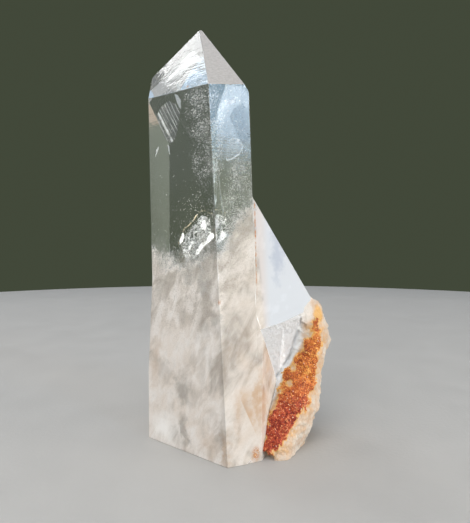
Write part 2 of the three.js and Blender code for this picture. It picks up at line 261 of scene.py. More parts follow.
# Directions of the two bright places in the surroundings, and their half sizes
BLUE_OPENING = ((0.646, -0.646, 0.407), (0.17, 0.17, 0.16))
WARM_CARD = ((0.575, 0.787, 0.225), (0.13, 0.13, 0.035))
WARM_CARD_COLOUR = (0.52, 0.42, 0.33)
# Soft lights: name, place and aim in metres, width and height, power, colour
LIGHTS = (
    ("overhead_light", (-0.15, -0.25, 0.75), (0, 0, 0.05), (0.6, 0.5), 2.2, (1.0, 0.98, 0.95)),
    ("front_light", (-0.2, -0.65, 0.44), (0, 0, 0.05), (0.6, 0.3), 2.75, (1.0, 0.97, 0.94)),
    ("left_strip", (-0.2, -0.7, 0.075), (0, 0, 0.06), (0.08, 0.1), 0.032, (0.80, 0.90, 1.0)),
    ("low_light", (0.523, -0.17, 0.035), (0, 0, 0.03), (0.13, 0.06), 2.5, (1.0, 0.97, 0.94)),
    ("right_strip", (0.502, -0.224, 0.032), (0, 0, 0.05), (0.12, 0.055), 0.075, (0.85, 0.93, 1.0)),
    ("sky_light", (-0.2515, 0.2325, 0.587), (-0.0145, -0.0045, 0.09), (0.154, 0.228), 0.5, (1.0, 1.0, 1.0)),
)
# Table from its middle out and down: share of its radius, height in metres
TABLE_PROFILE = (
    (0.25, 0.0), (0.5, 0.0), (0.75, 0.0), (0.985, 0.0), (0.996, -0.0015),
    (1.0, -0.005), (1.0, -0.02), (0.97, -0.024),
)
TABLE_SIDES = 96
# Gap between the crystal's resting face and the table
TABLE_GAP = 0.00005
# Camera fitted to the photograph: place, tilt down in degrees, lens and picture height in pixels, and the
# width of its sensor in millimetres
CAMERA_PLACE = mm(-1.397, -125.814, 51.0)
CAMERA_TILT = 2.5123
FOCAL_PIXELS = 490
PICTURE_HEIGHT = 523
SENSOR_WIDTH = 36.0


# Short ways to build node trees


class Nodes:
    """Adds nodes to a tree. A socket given as a value is linked, and anything else is set."""

    def __init__(self, tree):
        self.tree = tree
        tree.nodes.clear()

    def put(self, value, socket):
        """Links a value to a socket, or sets the socket to it."""
        if isinstance(value, bpy.types.NodeSocket):
            self.tree.links.new(value, socket)
        elif socket.type == "RGBA":
            socket.default_value = (*value[:3], 1.0)
        else:
            socket.default_value = value

    def add(self, kind, sockets=None, **settings):
        """A new node with its settings, and its sockets by name or number."""
        node = self.tree.nodes.new(kind)
        for name, value in settings.items():
            setattr(node, name, value)
        for name, value in (sockets or {}).items():
            self.put(value, node.inputs[name])
        return node

    def math(self, operation, a, b=0.0, clamp=False):
        return self.add("ShaderNodeMath", {0: a, 1: b}, operation=operation, use_clamp=clamp).outputs[0]

    def plus(self, a, b):
        return self.math("ADD", a, b)

    def minus(self, a, b):
        return self.math("SUBTRACT", a, b)

    def times(self, a, b):
        return self.math("MULTIPLY", a, b)

    def larger(self, a, b):
        return self.math("MAXIMUM", a, b)

    def without(self, value, share):
        """The value less a share of it, from 0 to 1."""
        return self.times(value, self.minus(1.0, share))

    def weighed(self, a, part_a, b, part_b):
        """Sum of two numbers, each times its part."""
        return self.plus(self.times(a, part_a), self.times(b, part_b))

    def vector(self, operation, a, b=None):
        sockets = {0: a} if b is None else {0: a, 1: b}
        return self.add("ShaderNodeVectorMath", sockets, operation=operation)

    def scaled(self, vector, size):
        return self.vector("MULTIPLY", vector, size).outputs[0]

    def axes(self, vector):
        """The x, y and z of a vector."""
        return self.add("ShaderNodeSeparateXYZ", {0: vector}).outputs

    def mask(self, name):
        """Value of a mesh attribute."""
        return self.add("ShaderNodeAttribute", attribute_name=name).outputs["Fac"]

    def rise(self, value, low, high, out_low=0.0, out_high=1.0):
        """Soft rise from out_low to out_high as value goes from low to high."""
        sockets = {0: value, 1: low, 2: high, 3: out_low, 4: out_high}
        return self.add("ShaderNodeMapRange", sockets, interpolation_type="SMOOTHSTEP").outputs[0]

    def rise_linear(self, value, low, high):
        """0 at low, 1 at high and straight between."""
        return self.add("ShaderNodeMapRange", {0: value, 1: low, 2: high}).outputs[0]

    def noise(self, vector, scale, detail=3.0, roughness=0.5, distortion=0.0):
        sockets = {"Vector": vector, "Scale": scale, "Detail": detail, "Roughness": roughness}
        return self.add("ShaderNodeTexNoise", {**sockets, "Distortion": distortion}).outputs[0]

    def scaled_noise(self, value, amount):
        """A noise value turned into a number from minus half to half the amount."""
        return self.times(self.minus(value, 0.5), amount)

    def mix(self, factor, a, b):
        """Colour a where factor is 0 and b where it is 1."""
        return self.add("ShaderNodeMix", {0: factor, 6: a, 7: b}, data_type="RGBA").outputs[2]

    def blend(self, factor, a, b):
        """Number a where factor is 0 and b where it is 1."""
        return self.add("ShaderNodeMix", {0: factor, 2: a, 3: b}, data_type="FLOAT").outputs[0]

    def ramp(self, factor, stops):
        """Colour by the factor, between stops of position and colour."""
        node = self.add("ShaderNodeValToRGB", {0: factor})
        points = node.color_ramp.elements
        while len(points) < len(stops):
            points.new(0.5)
        for point, (position, colour) in zip(points, stops):
            point.position = position
            point.color = (*colour[:3], 1.0)
        return node.outputs[0]

    def from_line(self, place, a, b):
        """Distance in millimetres from the line through a and b."""
        along = (Vector(b) - Vector(a)).normalized()
        away = self.vector("SUBTRACT", place, a).outputs[0]
        across = self.vector("CROSS_PRODUCT", away, along).outputs[0]
        return self.vector("LENGTH", across).outputs["Value"]

    def spot(self, place, centre, size, inner=0.3):
        """1 at a centre, fading to 0 at the size, in millimetres along each axis."""
        away = self.vector("SUBTRACT", place, centre).outputs[0]
        away = self.vector("DIVIDE", away, size).outputs[0]
        reach = self.vector("LENGTH", away).outputs["Value"]
        return self.rise(reach, inner, 1.0, 1.0, 0.0)

    def warped(self, place, scale, amount):
        """The place moved by noise, up to half the amount each way, so that spots get ragged outlines."""
        sockets = {"Vector": place, "Scale": scale, "Detail": 5.0, "Roughness": 0.65}
        wave = self.add("ShaderNodeTexNoise", sockets).outputs["Color"]
        away = self.vector("SUBTRACT", wave, (0.5, 0.5, 0.5)).outputs[0]
        return self.vector("ADD", place, self.scaled(away, (amount, amount, amount))).outputs[0]

    def bump(self, height, distance, strength=1.0, normal=None):
        """Normal for a relief of the height times the distance in metres."""
        sockets = {"Height": height, "Distance": distance, "Strength": strength}
        if normal is not None:
            sockets["Normal"] = normal
        return self.add("ShaderNodeBump", sockets).outputs[0]


class Surface(Nodes):
    """The nodes of a new material with one principled shader."""

    def __init__(self, name):
        self.material = bpy.data.materials.new(name)
        self.material.use_nodes = True
        super().__init__(self.material.node_tree)
        self.output = self.add("ShaderNodeOutputMaterial")
        self.shader = self.add("ShaderNodeBsdfPrincipled")
        self.put(self.shader.outputs[0], self.output.inputs["Surface"])

    def in_millimetres(self):
        """The object's own coordinates, in millimetres."""
        place = self.add("ShaderNodeTexCoord").outputs["Object"]
        return self.scaled(place, (1000, 1000, 1000))

    def shaded(self, **sockets):
        """Links or sets the shader's sockets by name, with _ for a space, and gives the material."""
        for name, value in sockets.items():
            self.put(value, self.shader.inputs[name.replace("_", " ")])
        return self.material


def place_piece(name, data):
    """Puts a mesh in the scene as a piece of the crystal, with its body."""
    piece = bpy.data.objects.new(name, data)
    bpy.context.scene.collection.objects.link(piece)
    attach(piece, BODY)
    return piece


# Sizes and colours that can be changed


class CrystalProps(bpy.types.PropertyGroup):
    edge_width: bpy.props.FloatProperty(
        name="Edge Width",
        description="Width of the fine worn band along the crystal edges",
        default=0.16 * MM,
        min=0.0,
        unit="LENGTH",
    )
    raw_spacing: bpy.props.FloatProperty(
        name="Raw Grain Spacing",
        description="Longest mesh edge on the broken quartz",
        default=0.5 * MM,
        min=0.2 * MM,
        unit="LENGTH",
    )
    raw_relief: bpy.props.FloatProperty(
        name="Raw Relief",
        description="How far the broken quartz goes up and down",
        default=0.55 * MM,
        min=0.0,
        unit="LENGTH",
    )
    ior: bpy.props.FloatProperty(name="IOR", description="Refraction of quartz", default=1.544, min=1.0)
    absorption_colour: bpy.props.FloatVectorProperty(
        name="Absorption Colour",
        description="Colour that light keeps on its way through the clear quartz",
        default=(0.86, 0.9, 0.82),
        subtype="COLOR",
        size=3,
    )
    absorption_density: bpy.props.FloatProperty(
        name="Absorption Density",
        description="How strongly the clear quartz colours light, per metre",
        default=14.0,
        min=0.0,
    )
    milk_colour: bpy.props.FloatVectorProperty(
        name="Milk Colour",
        description="Colour of the cloudy lower quartz",
        default=(0.80, 0.71, 0.63),
        subtype="COLOR",
        size=3,
    )
    stain_colour: bpy.props.FloatVectorProperty(
        name="Stain Colour",
        description="Colour of the peach iron washes in the quartz",
        default=(0.53, 0.355, 0.225),
        subtype="COLOR",
        size=3,
    )
    raw_colour: bpy.props.FloatVectorProperty(
        name="Raw Colour",
        description="Colour of the broken quartz",
        default=(0.70, 0.51, 0.36),
        subtype="COLOR",
        size=3,
    )


class InclusionProps(bpy.types.PropertyGroup):
    seed: bpy.props.IntProperty(name="Seed", description="Start of the random places", default=7, min=0)
    veils: bpy.props.IntProperty(name="Veils", description="Number of healed veils", default=16, min=1)
    specks: bpy.props.IntProperty(name="Specks", description="Number of white specks", default=3600, min=1)
    grain_density: bpy.props.FloatProperty(
        name="Grain Density",
        description="Iron grains for each square metre of crust",
        default=9.0e6,
        min=0.0,
    )
    grain_size: bpy.props.FloatProperty(
        name="Grain Size",
        description="Size of the largest iron grains",
        default=0.46 * MM,
        min=0.0,
        unit="LENGTH",
    )
    veil_strength: bpy.props.FloatProperty(
        name="Veil Strength",
        description="How dense the healed veils are",
        default=1.5,
        min=0.0,
    )


class StageProps(bpy.types.PropertyGroup):
    table_radius: bpy.props.FloatProperty(
        name="Table Radius",
        description="Radius of the round pale table",
        default=0.43,
        min=0.1,
        unit="LENGTH",
    )
    table_colour: bpy.props.FloatVectorProperty(
        name="Table Colour",
        description="Colour of the table",
        default=(0.44, 0.425, 0.40),
        subtype="COLOR",
        size=3,
    )
    backdrop_colour: bpy.props.FloatVectorProperty(
        name="Backdrop Colour",
        description="Colour of the backdrop level with the crystal",
        default=(0.055, 0.066, 0.042),
        subtype="COLOR",
        size=3,
    )
    flank_colour: bpy.props.FloatVectorProperty(
        name="Side Colour",
        description="Colour of the backdrop at the sides",
        default=(0.18, 0.20, 0.155),
        subtype="COLOR",
        size=3,
    )
    low_colour: bpy.props.FloatVectorProperty(
        name="Low Colour",
        description="Colour below the table's edge",
        default=(0.46, 0.60, 0.76),
        subtype="COLOR",
        size=3,
    )
    opening_colour: bpy.props.FloatVectorProperty(
        name="Opening Colour",
        description="Colour of the bright blue opening that the right face mirrors",
        default=(3.2, 5.0, 7.1),
        subtype="COLOR",
        size=3,
        soft_max=10.0,
    )
    zenith_colour: bpy.props.FloatVectorProperty(
        name="Overhead Colour",
        description="Colour of the soft light from overhead",
        default=(0.84, 0.90, 1.0),
        subtype="COLOR",
        size=3,
    )
    zenith_strength: bpy.props.FloatProperty(
        name="Overhead Strength",
        description="Brightness of the soft light from overhead",
        default=0.8,
        min=0.0,
    )


# The crystal itself

# Kinds of surface: grown flat faces, broken quartz and the white chipped facets
FLAT, BROKEN, CHIP = 0, 1, 2
# Least area of a grown face, and the most that its triangles lean from each other
LEAST_FACE_AREA = 28 * MM * MM
FLAT_ANGLE = math.radians(0.4)
# Shortest edge kept on the broken quartz
LEAST_EDGE = 0.002 * MM
# Direction that the finely frosted right face of the point looks in; that face also carries a painted
# reflection
FROSTED_REFLECTING_FACING = Vector((0.212, -0.708, 0.673)).normalized()


def flat_regions(mesh, least_area, most_angle):
    """Faces of each flat crystal face, found by walking over neighbours that lie in one plane."""
    seen = set()
    regions = []
    for start in mesh.faces:
        if start in seen:
            continue
        seen.add(start)
        waiting = [start]
        region = []
        while waiting:
            face = waiting.pop()
            region.append(face)
            for edge in face.edges:
                for other in edge.link_faces:
                    if other not in seen and other.normal.angle(face.normal, 9.0) < most_angle:
                        seen.add(other)
                        waiting.append(other)
        if sum(face.calc_area() for face in region) > least_area:
            regions.append(region)
    return regions


def nearest_on_line(point):
    """Distance to the crust's middle line less its half width, and the way from it."""
    best = (1.0, Vector())
    for (a, wide_a), (b, wide_b) in zip(CRUST_LINE, CRUST_LINE[1:]):
        along = b - a
        t = min(1.0, max(0.0, (point - a).dot(along) / along.length_squared))
        away = point - a - along * t
        gap = away.length - (wide_a + (wide_b - wide_a) * t)
        if gap < best[0]:
            best = (gap, away.normalized())
    return best


def crust_cover(point):
    """How much iron crust lies at a point of the surface, 0 to 1."""
    ragged = noise.fractal(point * 420, 0.7, 2.1, 4) * 1.3 * MM
    cover = 1 - smooth_step(-0.5 * MM, 0.4 * MM, nearest_on_line(point)[0] + ragged)
    for centre, radius in CRUST_WINDOWS:
        cover *= smooth_step(radius * 0.5, radius * 1.2, (point - centre).length + ragged * 0.4)
    return cover


def white_cover(point):
    """How far a point belongs to the clean white chips above the crust, 0 to 1."""
    gap, away = nearest_on_line(point)
    ragged = noise.fractal(point * 500, 0.8, 2.1, 3) * 0.5 * MM
    above = smooth_step(-0.1, 0.3, away.dot(Vector((-0.70, 0.14, 0.70))))
    knob = smooth_step(14.5 * MM, 16.5 * MM, point.x) * smooth_step(25 * MM, 27 * MM, point.z)
    front = 1 - smooth_step(0.0, 3 * MM, point.y)
    return smooth_step(0.0, 0.8 * MM, gap + ragged) * above * (1 - knob) * front


def rust_halo(point):
    """Yellow stain on the broken quartz beside the crust, 0 to 1."""
    ragged = noise.fractal(point * 300, 0.8, 2.1, 4) * 2.2 * MM
    return 1 - smooth_step(-0.5 * MM, 3.2 * MM, nearest_on_line(point)[0] + ragged)


def collapse_slivers(mesh, raw):
    """Takes out the edges of the broken quartz that are too short to be seen."""
    edges = list(dict.fromkeys(edge for face in mesh.faces if face[raw] for edge in face.edges))
    bmesh.ops.dissolve_degenerate(mesh, dist=LEAST_EDGE, edges=edges)


def refine(mesh, longest, rounds=5):
    """Halves the long edges of the broken faces, round by round, and gives those faces."""
    raw = mesh.faces.layers.int["raw"]
    for _ in range(rounds):
        collapse_slivers(mesh, raw)
        broken = [face for face in mesh.faces if face[raw]]
        edges = dict.fromkeys(edge for face in broken for edge in face.edges)
        long_edges = [edge for edge in edges if edge.calc_length() > longest]
        if not long_edges:
            break
        for edge in long_edges:
            bmesh.utils.edge_split(edge, edge.verts[0], 0.5)
        cut = [face for face in broken if len(face.verts) > 3]
        bmesh.ops.triangulate(mesh, faces=cut, quad_method="BEAUTY", ngon_method="BEAUTY")
    collapse_slivers(mesh, raw)
    return [face for face in mesh.faces if face[raw]]


def mark_kinds(mesh):
    """Marks each face as flat, broken or chip, and gives the number of each flat face's region."""
    raw = mesh.faces.layers.int.new("raw")
    mesh.faces.layers.int.new("worn")
    region_of = {}
    chips = set()
    for number, region in enumerate(flat_regions(mesh, LEAST_FACE_AREA, FLAT_ANGLE)):
        facing = max(region, key=lambda face: face.calc_area()).normal
        if -0.5 < facing.z < -0.2:
            chips.update(region)
        else:
            for face in region:
                region_of[face] = number
    for face in mesh.faces:
        face[raw] = FLAT if face in region_of else CHIP if face in chips else BROKEN
    return region_of


def merge_flat_faces(mesh, region_of):
    """Makes one polygon of each flat region, with no spare corners along its edges."""
    raw = mesh.faces.layers.int["raw"]
    inner = [
        edge
        for edge in mesh.edges
        if len(edge.link_faces) == 2
        and all(face in region_of for face in edge.link_faces)
        and region_of[edge.link_faces[0]] == region_of[edge.link_faces[1]]
    ]
    bmesh.ops.dissolve_edges(mesh, edges=inner, use_verts=False)
    straight = [
        vert
        for vert in mesh.verts
        if len(vert.link_edges) == 2
        and all(not face[raw] for face in vert.link_faces)
    ]
    bmesh.ops.dissolve_verts(mesh, verts=straight)


def wear_edges(mesh, width):
    """Wears the edges between grown faces to fine bands."""
    raw = mesh.faces.layers.int["raw"]
    worn = mesh.faces.layers.int["worn"]
    edges = [
        edge
        for edge in mesh.edges
        if edge.link_faces and not any(face[raw] for face in edge.link_faces)
    ]
    bands = bmesh.ops.bevel(
        mesh,
        geom=edges,
        offset=width / 2,
        offset_type="OFFSET",
        segments=1,
        profile=0.5,
        affect="EDGES",
        clamp_overlap=True,
    )["faces"]
    for face in bands:
        face[raw] = FLAT
        face[worn] = 1


def roughen(mesh, faces, relief):
    """Smooths the broken faces and gives them relief, which fades out towards the flat faces."""
    raw = mesh.faces.layers.int["raw"]
    border = [vert for vert in mesh.verts if any(not face[raw] for face in vert.link_faces)]
    tree = KDTree(len(border))
    for index, vert in enumerate(border):
        tree.insert(vert.co, index)
    tree.balance()
    border = set(border)
    inside = [vert for vert in {v for face in faces for v in face.verts} if vert not in border]
    inside.sort(key=lambda vert: tuple(vert.co))
    axes = {"use_axis_x": True, "use_axis_y": True, "use_axis_z": True}
    for _ in range(3):
        bmesh.ops.smooth_vert(mesh, verts=inside, factor=0.5, **axes)
    mesh.normal_update()
    moves = []
    for vert in inside:
        fade = smooth_step(0.0, 1.2 * MM, tree.find(vert.co)[2])
        if any(face[raw] == CHIP for face in vert.link_faces):
            fade *= 0.3
        broad = noise.fractal(vert.co * 260, 0.9, 2.0, 3)
        fine = noise.fractal(vert.co * 1100, 0.7, 2.2, 3)
        cover = crust_cover(vert.co)
        lift = broad * 0.55 + fine * (0.45 + 0.45 * cover) + cover * 0.5
        moves.append((vert, vert.normal * (relief * fade * lift)))
    for vert, move in moves:
        vert.co += move
        vert.co.z = max(vert.co.z, CAD_LOW.z)


def crystal_mesh(props):
    """The solid with plain flat faces, worn edges and grained broken quartz."""
    mesh = bmesh.new()
    mesh.from_mesh(SOLID.data)
    bmesh.ops.remove_doubles(mesh, verts=mesh.verts, dist=1e-6)
    merge_flat_faces(mesh, mark_kinds(mesh))
    wear_edges(mesh, props.edge_width)
    roughen(mesh, refine(mesh, props.raw_spacing), props.raw_relief)
    raw = mesh.faces.layers.int["raw"]
    for face in mesh.faces:
        face.smooth = bool(face[raw])
    return mesh


def write_masks(data, flags):
    """Stores on each face corner the masks of the quartz material.

    raw is broken quartz, chip its white chips, rust the crust and halo the stain beside it.
    worn is a worn edge, and the last mask the finely frosted face, which also carries a painted reflection.
    """
    values = {name: [0.0] * len(data.loops) for name in ("raw", "chip", "rust", "halo", "worn", "frost_and_reflection")}
    seen = {}
    for polygon, (kind, worn) in zip(data.polygons, flags):
        if kind == FLAT:
            frosted_reflecting = polygon.normal.dot(FROSTED_REFLECTING_FACING) > 0.995
            for loop in polygon.loop_indices:
                values["worn"][loop] = float(worn)
                values["frost_and_reflection"][loop] = float(frosted_reflecting)
            continue
        for loop in polygon.loop_indices:
            vertex = data.loops[loop].vertex_index
            if vertex not in seen:
                point = data.vertices[vertex].co
                seen[vertex] = (crust_cover(point), white_cover(point), rust_halo(point))
            values["raw"][loop] = 1.0
            values["rust"][loop], values["chip"][loop], values["halo"][loop] = seen[vertex]
    for name, numbers in values.items():
        data.attributes.new(name, "FLOAT", "CORNER").data.foreach_set("value", numbers)


# Quartz material, made in parts


class Ground:
    """Coordinates in millimetres and noises that the parts of the quartz material share."""

    def __init__(self, nodes):
        self.place = nodes.in_millimetres()
        self.x, _, self.z = nodes.axes(self.place)
        self.warped = nodes.warped(self.place, 0.22, 9.0)
        self.grain = nodes.noise(self.place, 1.1, 6.0, 0.65)
        self.fine_grain = nodes.noise(self.place, 3.2, 4.0, 0.7)
        self.patches = nodes.noise(self.place, 0.10, 4.0, 0.5, 0.8)
        self.tint = nodes.noise(self.place, 0.4, 4.0, 0.6)
        slant = nodes.add(
            "ShaderNodeMapping",
            {"Vector": self.place, "Rotation": (0.1, 0.6, 0.2), "Scale": (2.6, 2.6, 8.0)},
            vector_type="TEXTURE",
        ).outputs[0]
        self.wisps = nodes.noise(slant, 0.8, 5.0, 0.6, 0.6)
        self.smoke = nodes.noise(slant, 2.6, 6.0, 0.6, 0.7)


def milk_limit(nodes, across):
    """Height below which the quartz is cloudy: it dips at the left and climbs to the right."""
    low, high = MILK_LIMIT[0][0], MILK_LIMIT[-1][0]
    share = nodes.rise_linear(across, low, high)
    curve = nodes.add("ShaderNodeFloatCurve", {"Factor": 1.0, "Value": share})
    points = curve.mapping.curves[0].points
    while len(points) < len(MILK_LIMIT):
        points.new(0.5, 0.5)
    for point, (x, z) in zip(points, MILK_LIMIT):
        point.location = ((x - low) / (high - low), z / MILK_TOP)
        point.handle_type = "VECTOR"
    curve.mapping.update()
    return nodes.times(curve.outputs[0], MILK_TOP)


def milk_depth(nodes, ground):
    """How far a point lies below the ragged top of the cloud, in millimetres."""
    wobble = nodes.scaled_noise(nodes.noise(ground.place, 0.13, 6.0, 0.66, 0.5), 20)
    wobble = nodes.plus(wobble, nodes.scaled_noise(ground.fine_grain, 14))
    wobble = nodes.plus(wobble, nodes.times(ground.grain, 6))
    return nodes.minus(nodes.plus(milk_limit(nodes, ground.x), wobble), ground.z)


def cloud_density(nodes, ground, upper):
    """How thick the cloud is: soft patches, slanting wisps, and windows where it is thin."""
    foot = nodes.rise(ground.z, 30, 6, 0.0, 0.07)
    cloud = nodes.plus(nodes.weighed(ground.patches, 0.6, ground.wisps, 0.4), foot)
    density = nodes.rise(cloud, 0.28, 0.60)
    rays = nodes.rise(ground.wisps, 0.40, 0.56, 0.55, 1.0)
    density = nodes.times(density, nodes.blend(upper, 1.0, rays))
    for centre, size, strength in THIN_WINDOWS:
        density = nodes.without(density, nodes.times(nodes.spot(ground.warped, centre, size), strength))
    return density


def side_crystal(nodes, ground):
    """1 on the side crystal and 0 on the main one."""
    across = nodes.plus(ground.x, nodes.times(ground.z, 0.10))
    return nodes.times(nodes.rise(across, 8.0, 9.4), nodes.rise(ground.z, 26.0, 30.0))


def side_colour(nodes, ground):
    """Colour of the side crystal: cool, with a bluish painted reflection and a rosy left edge."""
    # Painted reflection: a darker bluish patch on the side crystal's face
    side_painted_reflection = nodes.spot(ground.warped, *SIDE_PAINTED_REFLECTION)
    colour = nodes.mix(side_painted_reflection, (0.62, 0.64, 0.67), (0.48, 0.51, 0.58))
    across = nodes.plus(ground.x, nodes.times(ground.z, 0.03))
    return nodes.mix(nodes.rise(across, 6.0, 8.4, 0.5, 0.0), colour, (0.68, 0.56, 0.49))


def cloud_colour(nodes, ground, props, upper, side, foot_painted_light):
    """Colour of the cloud: gritty near its top, with painted shade that darkens the right prism face.

    It is cooler in the side crystal, and painted lighter at the left of the foot as painted light.
    """
    wisps = nodes.rise(ground.wisps, 0.35, 0.7, 0.0, 0.6)
    colour = nodes.mix(wisps, props.milk_colour, (0.95, 0.93, 0.91))
    grit = nodes.blend(upper, 0.25, 1.0)
    dark_grit = nodes.times(grit, nodes.rise(ground.fine_grain, 0.5, 0.34, 0.0, 0.7))
    pale_grit = nodes.times(grit, nodes.rise(ground.fine_grain, 0.54, 0.68, 0.0, 0.6))
    colour = nodes.mix(dark_grit, colour, (0.42, 0.39, 0.34))
    colour = nodes.mix(pale_grit, colour, (1.0, 0.99, 0.97))
    colour = nodes.mix(nodes.rise(ground.smoke, 0.52, 0.36, 0.0, 0.2), colour, (0.60, 0.55, 0.49))
    # Painted shade: the cloud on the right prism face is painted darker
    right_face_painted_shade = nodes.rise(ground.x, -5.2, -3.4, 0.0, 0.36)
    colour = nodes.mix(right_face_painted_shade, colour, (0.40, 0.35, 0.29))
    colour = nodes.mix(side, colour, side_colour(nodes, ground))
    # Painted light: the cloud at the left of the foot is painted almost white
    return nodes.mix(nodes.times(foot_painted_light, 0.9), colour, (1.0, 0.97, 0.93))


def peach_wash(nodes, ground):
    """How strongly iron washes the cloud, less at the pale right corner of the foot."""
    peach = 0.0
    for centre, size, strength in PEACH_STAINS:
        wash = nodes.times(nodes.spot(ground.warped, centre, size, 0.1), strength)
        peach = nodes.larger(peach, wash)
    line = nodes.plus(ground.z, nodes.times(ground.x, 2.375))
    corner = nodes.times(nodes.rise(line, 14.2, 15.0, 1.0, 0.0), nodes.rise(ground.x, -1.0, 0.5))
    peach = nodes.without(peach, nodes.times(corner, 0.8))
    return nodes.times(peach, nodes.rise(ground.patches, 0.3, 0.6, 0.5, 1.0))


def rust_marks(nodes, ground):
    """The broken rusty seam along the side crystal, and the few rusty spots."""
    near = nodes.rise(nodes.from_line(ground.place, *SEAM), 0.08, 0.3, 1.0, 0.0)
    along = nodes.times(nodes.rise(ground.z, 36, 44), nodes.rise(ground.z, 61.5, 59))
    broken = nodes.rise(nodes.noise(ground.place, 0.9, 4.0, 0.7), 0.38, 0.6)
    marks = nodes.times(nodes.times(near, along), broken)
    ragged = nodes.rise(ground.fine_grain, 0.35, 0.55)
    for centre, size in RUST_SPOTS:
        marks = nodes.larger(marks, nodes.times(nodes.spot(ground.place, centre, size, 0.2), ragged))
    return marks


def iron_colour(nodes, height, spread):
    """Colour of the crust by a spread from 0 to 1, redder lower down."""
    low = nodes.rise(height, 19, 9)
    return nodes.mix(low, nodes.ramp(spread, IRON_RAMP), nodes.ramp(spread, LOW_IRON_RAMP))


def broken_colour(nodes, ground, props, rust):
    """Colour of the broken quartz, with its stains, white chips and crust."""
    colour = nodes.mix(nodes.rise(ground.tint, 0.40, 0.64), props.raw_colour, (0.77, 0.67, 0.57))
    halo = nodes.times(nodes.mask("halo"), nodes.rise(ground.grain, 0.36, 0.6, 0.1, 0.95))
    colour = nodes.mix(halo, colour, (0.78, 0.45, 0.19))
    colour = nodes.mix(nodes.rise(ground.fine_grain, 0.58, 0.72, 0.0, 0.6), colour, (0.55, 0.22, 0.12))
    knob = nodes.spot(ground.place, *PALE_KNOB, 0.6)
    colour = nodes.mix(nodes.times(knob, 0.8), colour, (0.80, 0.74, 0.67))
    stain = nodes.spot(nodes.warped(ground.place, 0.7, 1.6), *KNOB_STAIN, 0.4)
    colour = nodes.mix(nodes.times(stain, 0.9), colour, (0.84, 0.47, 0.14))
    chip = nodes.mix(nodes.rise(ground.grain, 0.4, 0.6), (0.96, 0.95, 0.94), (1.0, 1.0, 1.0))
    colour = nodes.mix(nodes.mask("chip"), colour, chip)
    iron = iron_colour(nodes, ground.z, nodes.weighed(ground.tint, 0.55, ground.fine_grain, 0.45))
    fringe = nodes.mix(nodes.rise(rust, 0.15, 0.85), (0.86, 0.50, 0.14), iron)
    return nodes.mix(nodes.rise(rust, 0.02, 0.35), colour, fringe)


def edge_wear_highlights(nodes, ground, worn):
    """Painted highlight and wear on the edges: most in a band below the middle, and least near the foot."""
    band = nodes.times(nodes.rise(ground.z, 34, 38), nodes.rise(ground.z, 51, 49))
    most = nodes.larger(band, nodes.rise(ground.z, 36, 52, 0.12, 0.38))
    patchy = nodes.rise(nodes.noise(ground.place, 0.35, 4.0, 0.6), 0.42, 0.62, 0.15, 1.0)
    return nodes.times(nodes.times(worn, patchy), most)


def quartz_relief(nodes, ground, raw, frosted_reflecting):
    """Faint growth relief on the flat faces, and real grain on the broken ones."""
    lines = nodes.noise(nodes.scaled(ground.place, (0.1, 0.1, 2.2)), 1.0, 2.0, 0.5)
    growth = nodes.plus(nodes.times(lines, 0.25), nodes.noise(ground.place, 0.3, 3.0, 0.5))
    relief = nodes.blend(frosted_reflecting, nodes.rise(ground.z, 84, 90, 0.00008, 0.0002), 0.00005)
    growth = nodes.bump(growth, relief, 0.4)
    height = nodes.weighed(ground.grain, 0.7, ground.fine_grain, 0.5)
    return nodes.bump(nodes.times(height, raw), 0.0009, 1.0, growth)


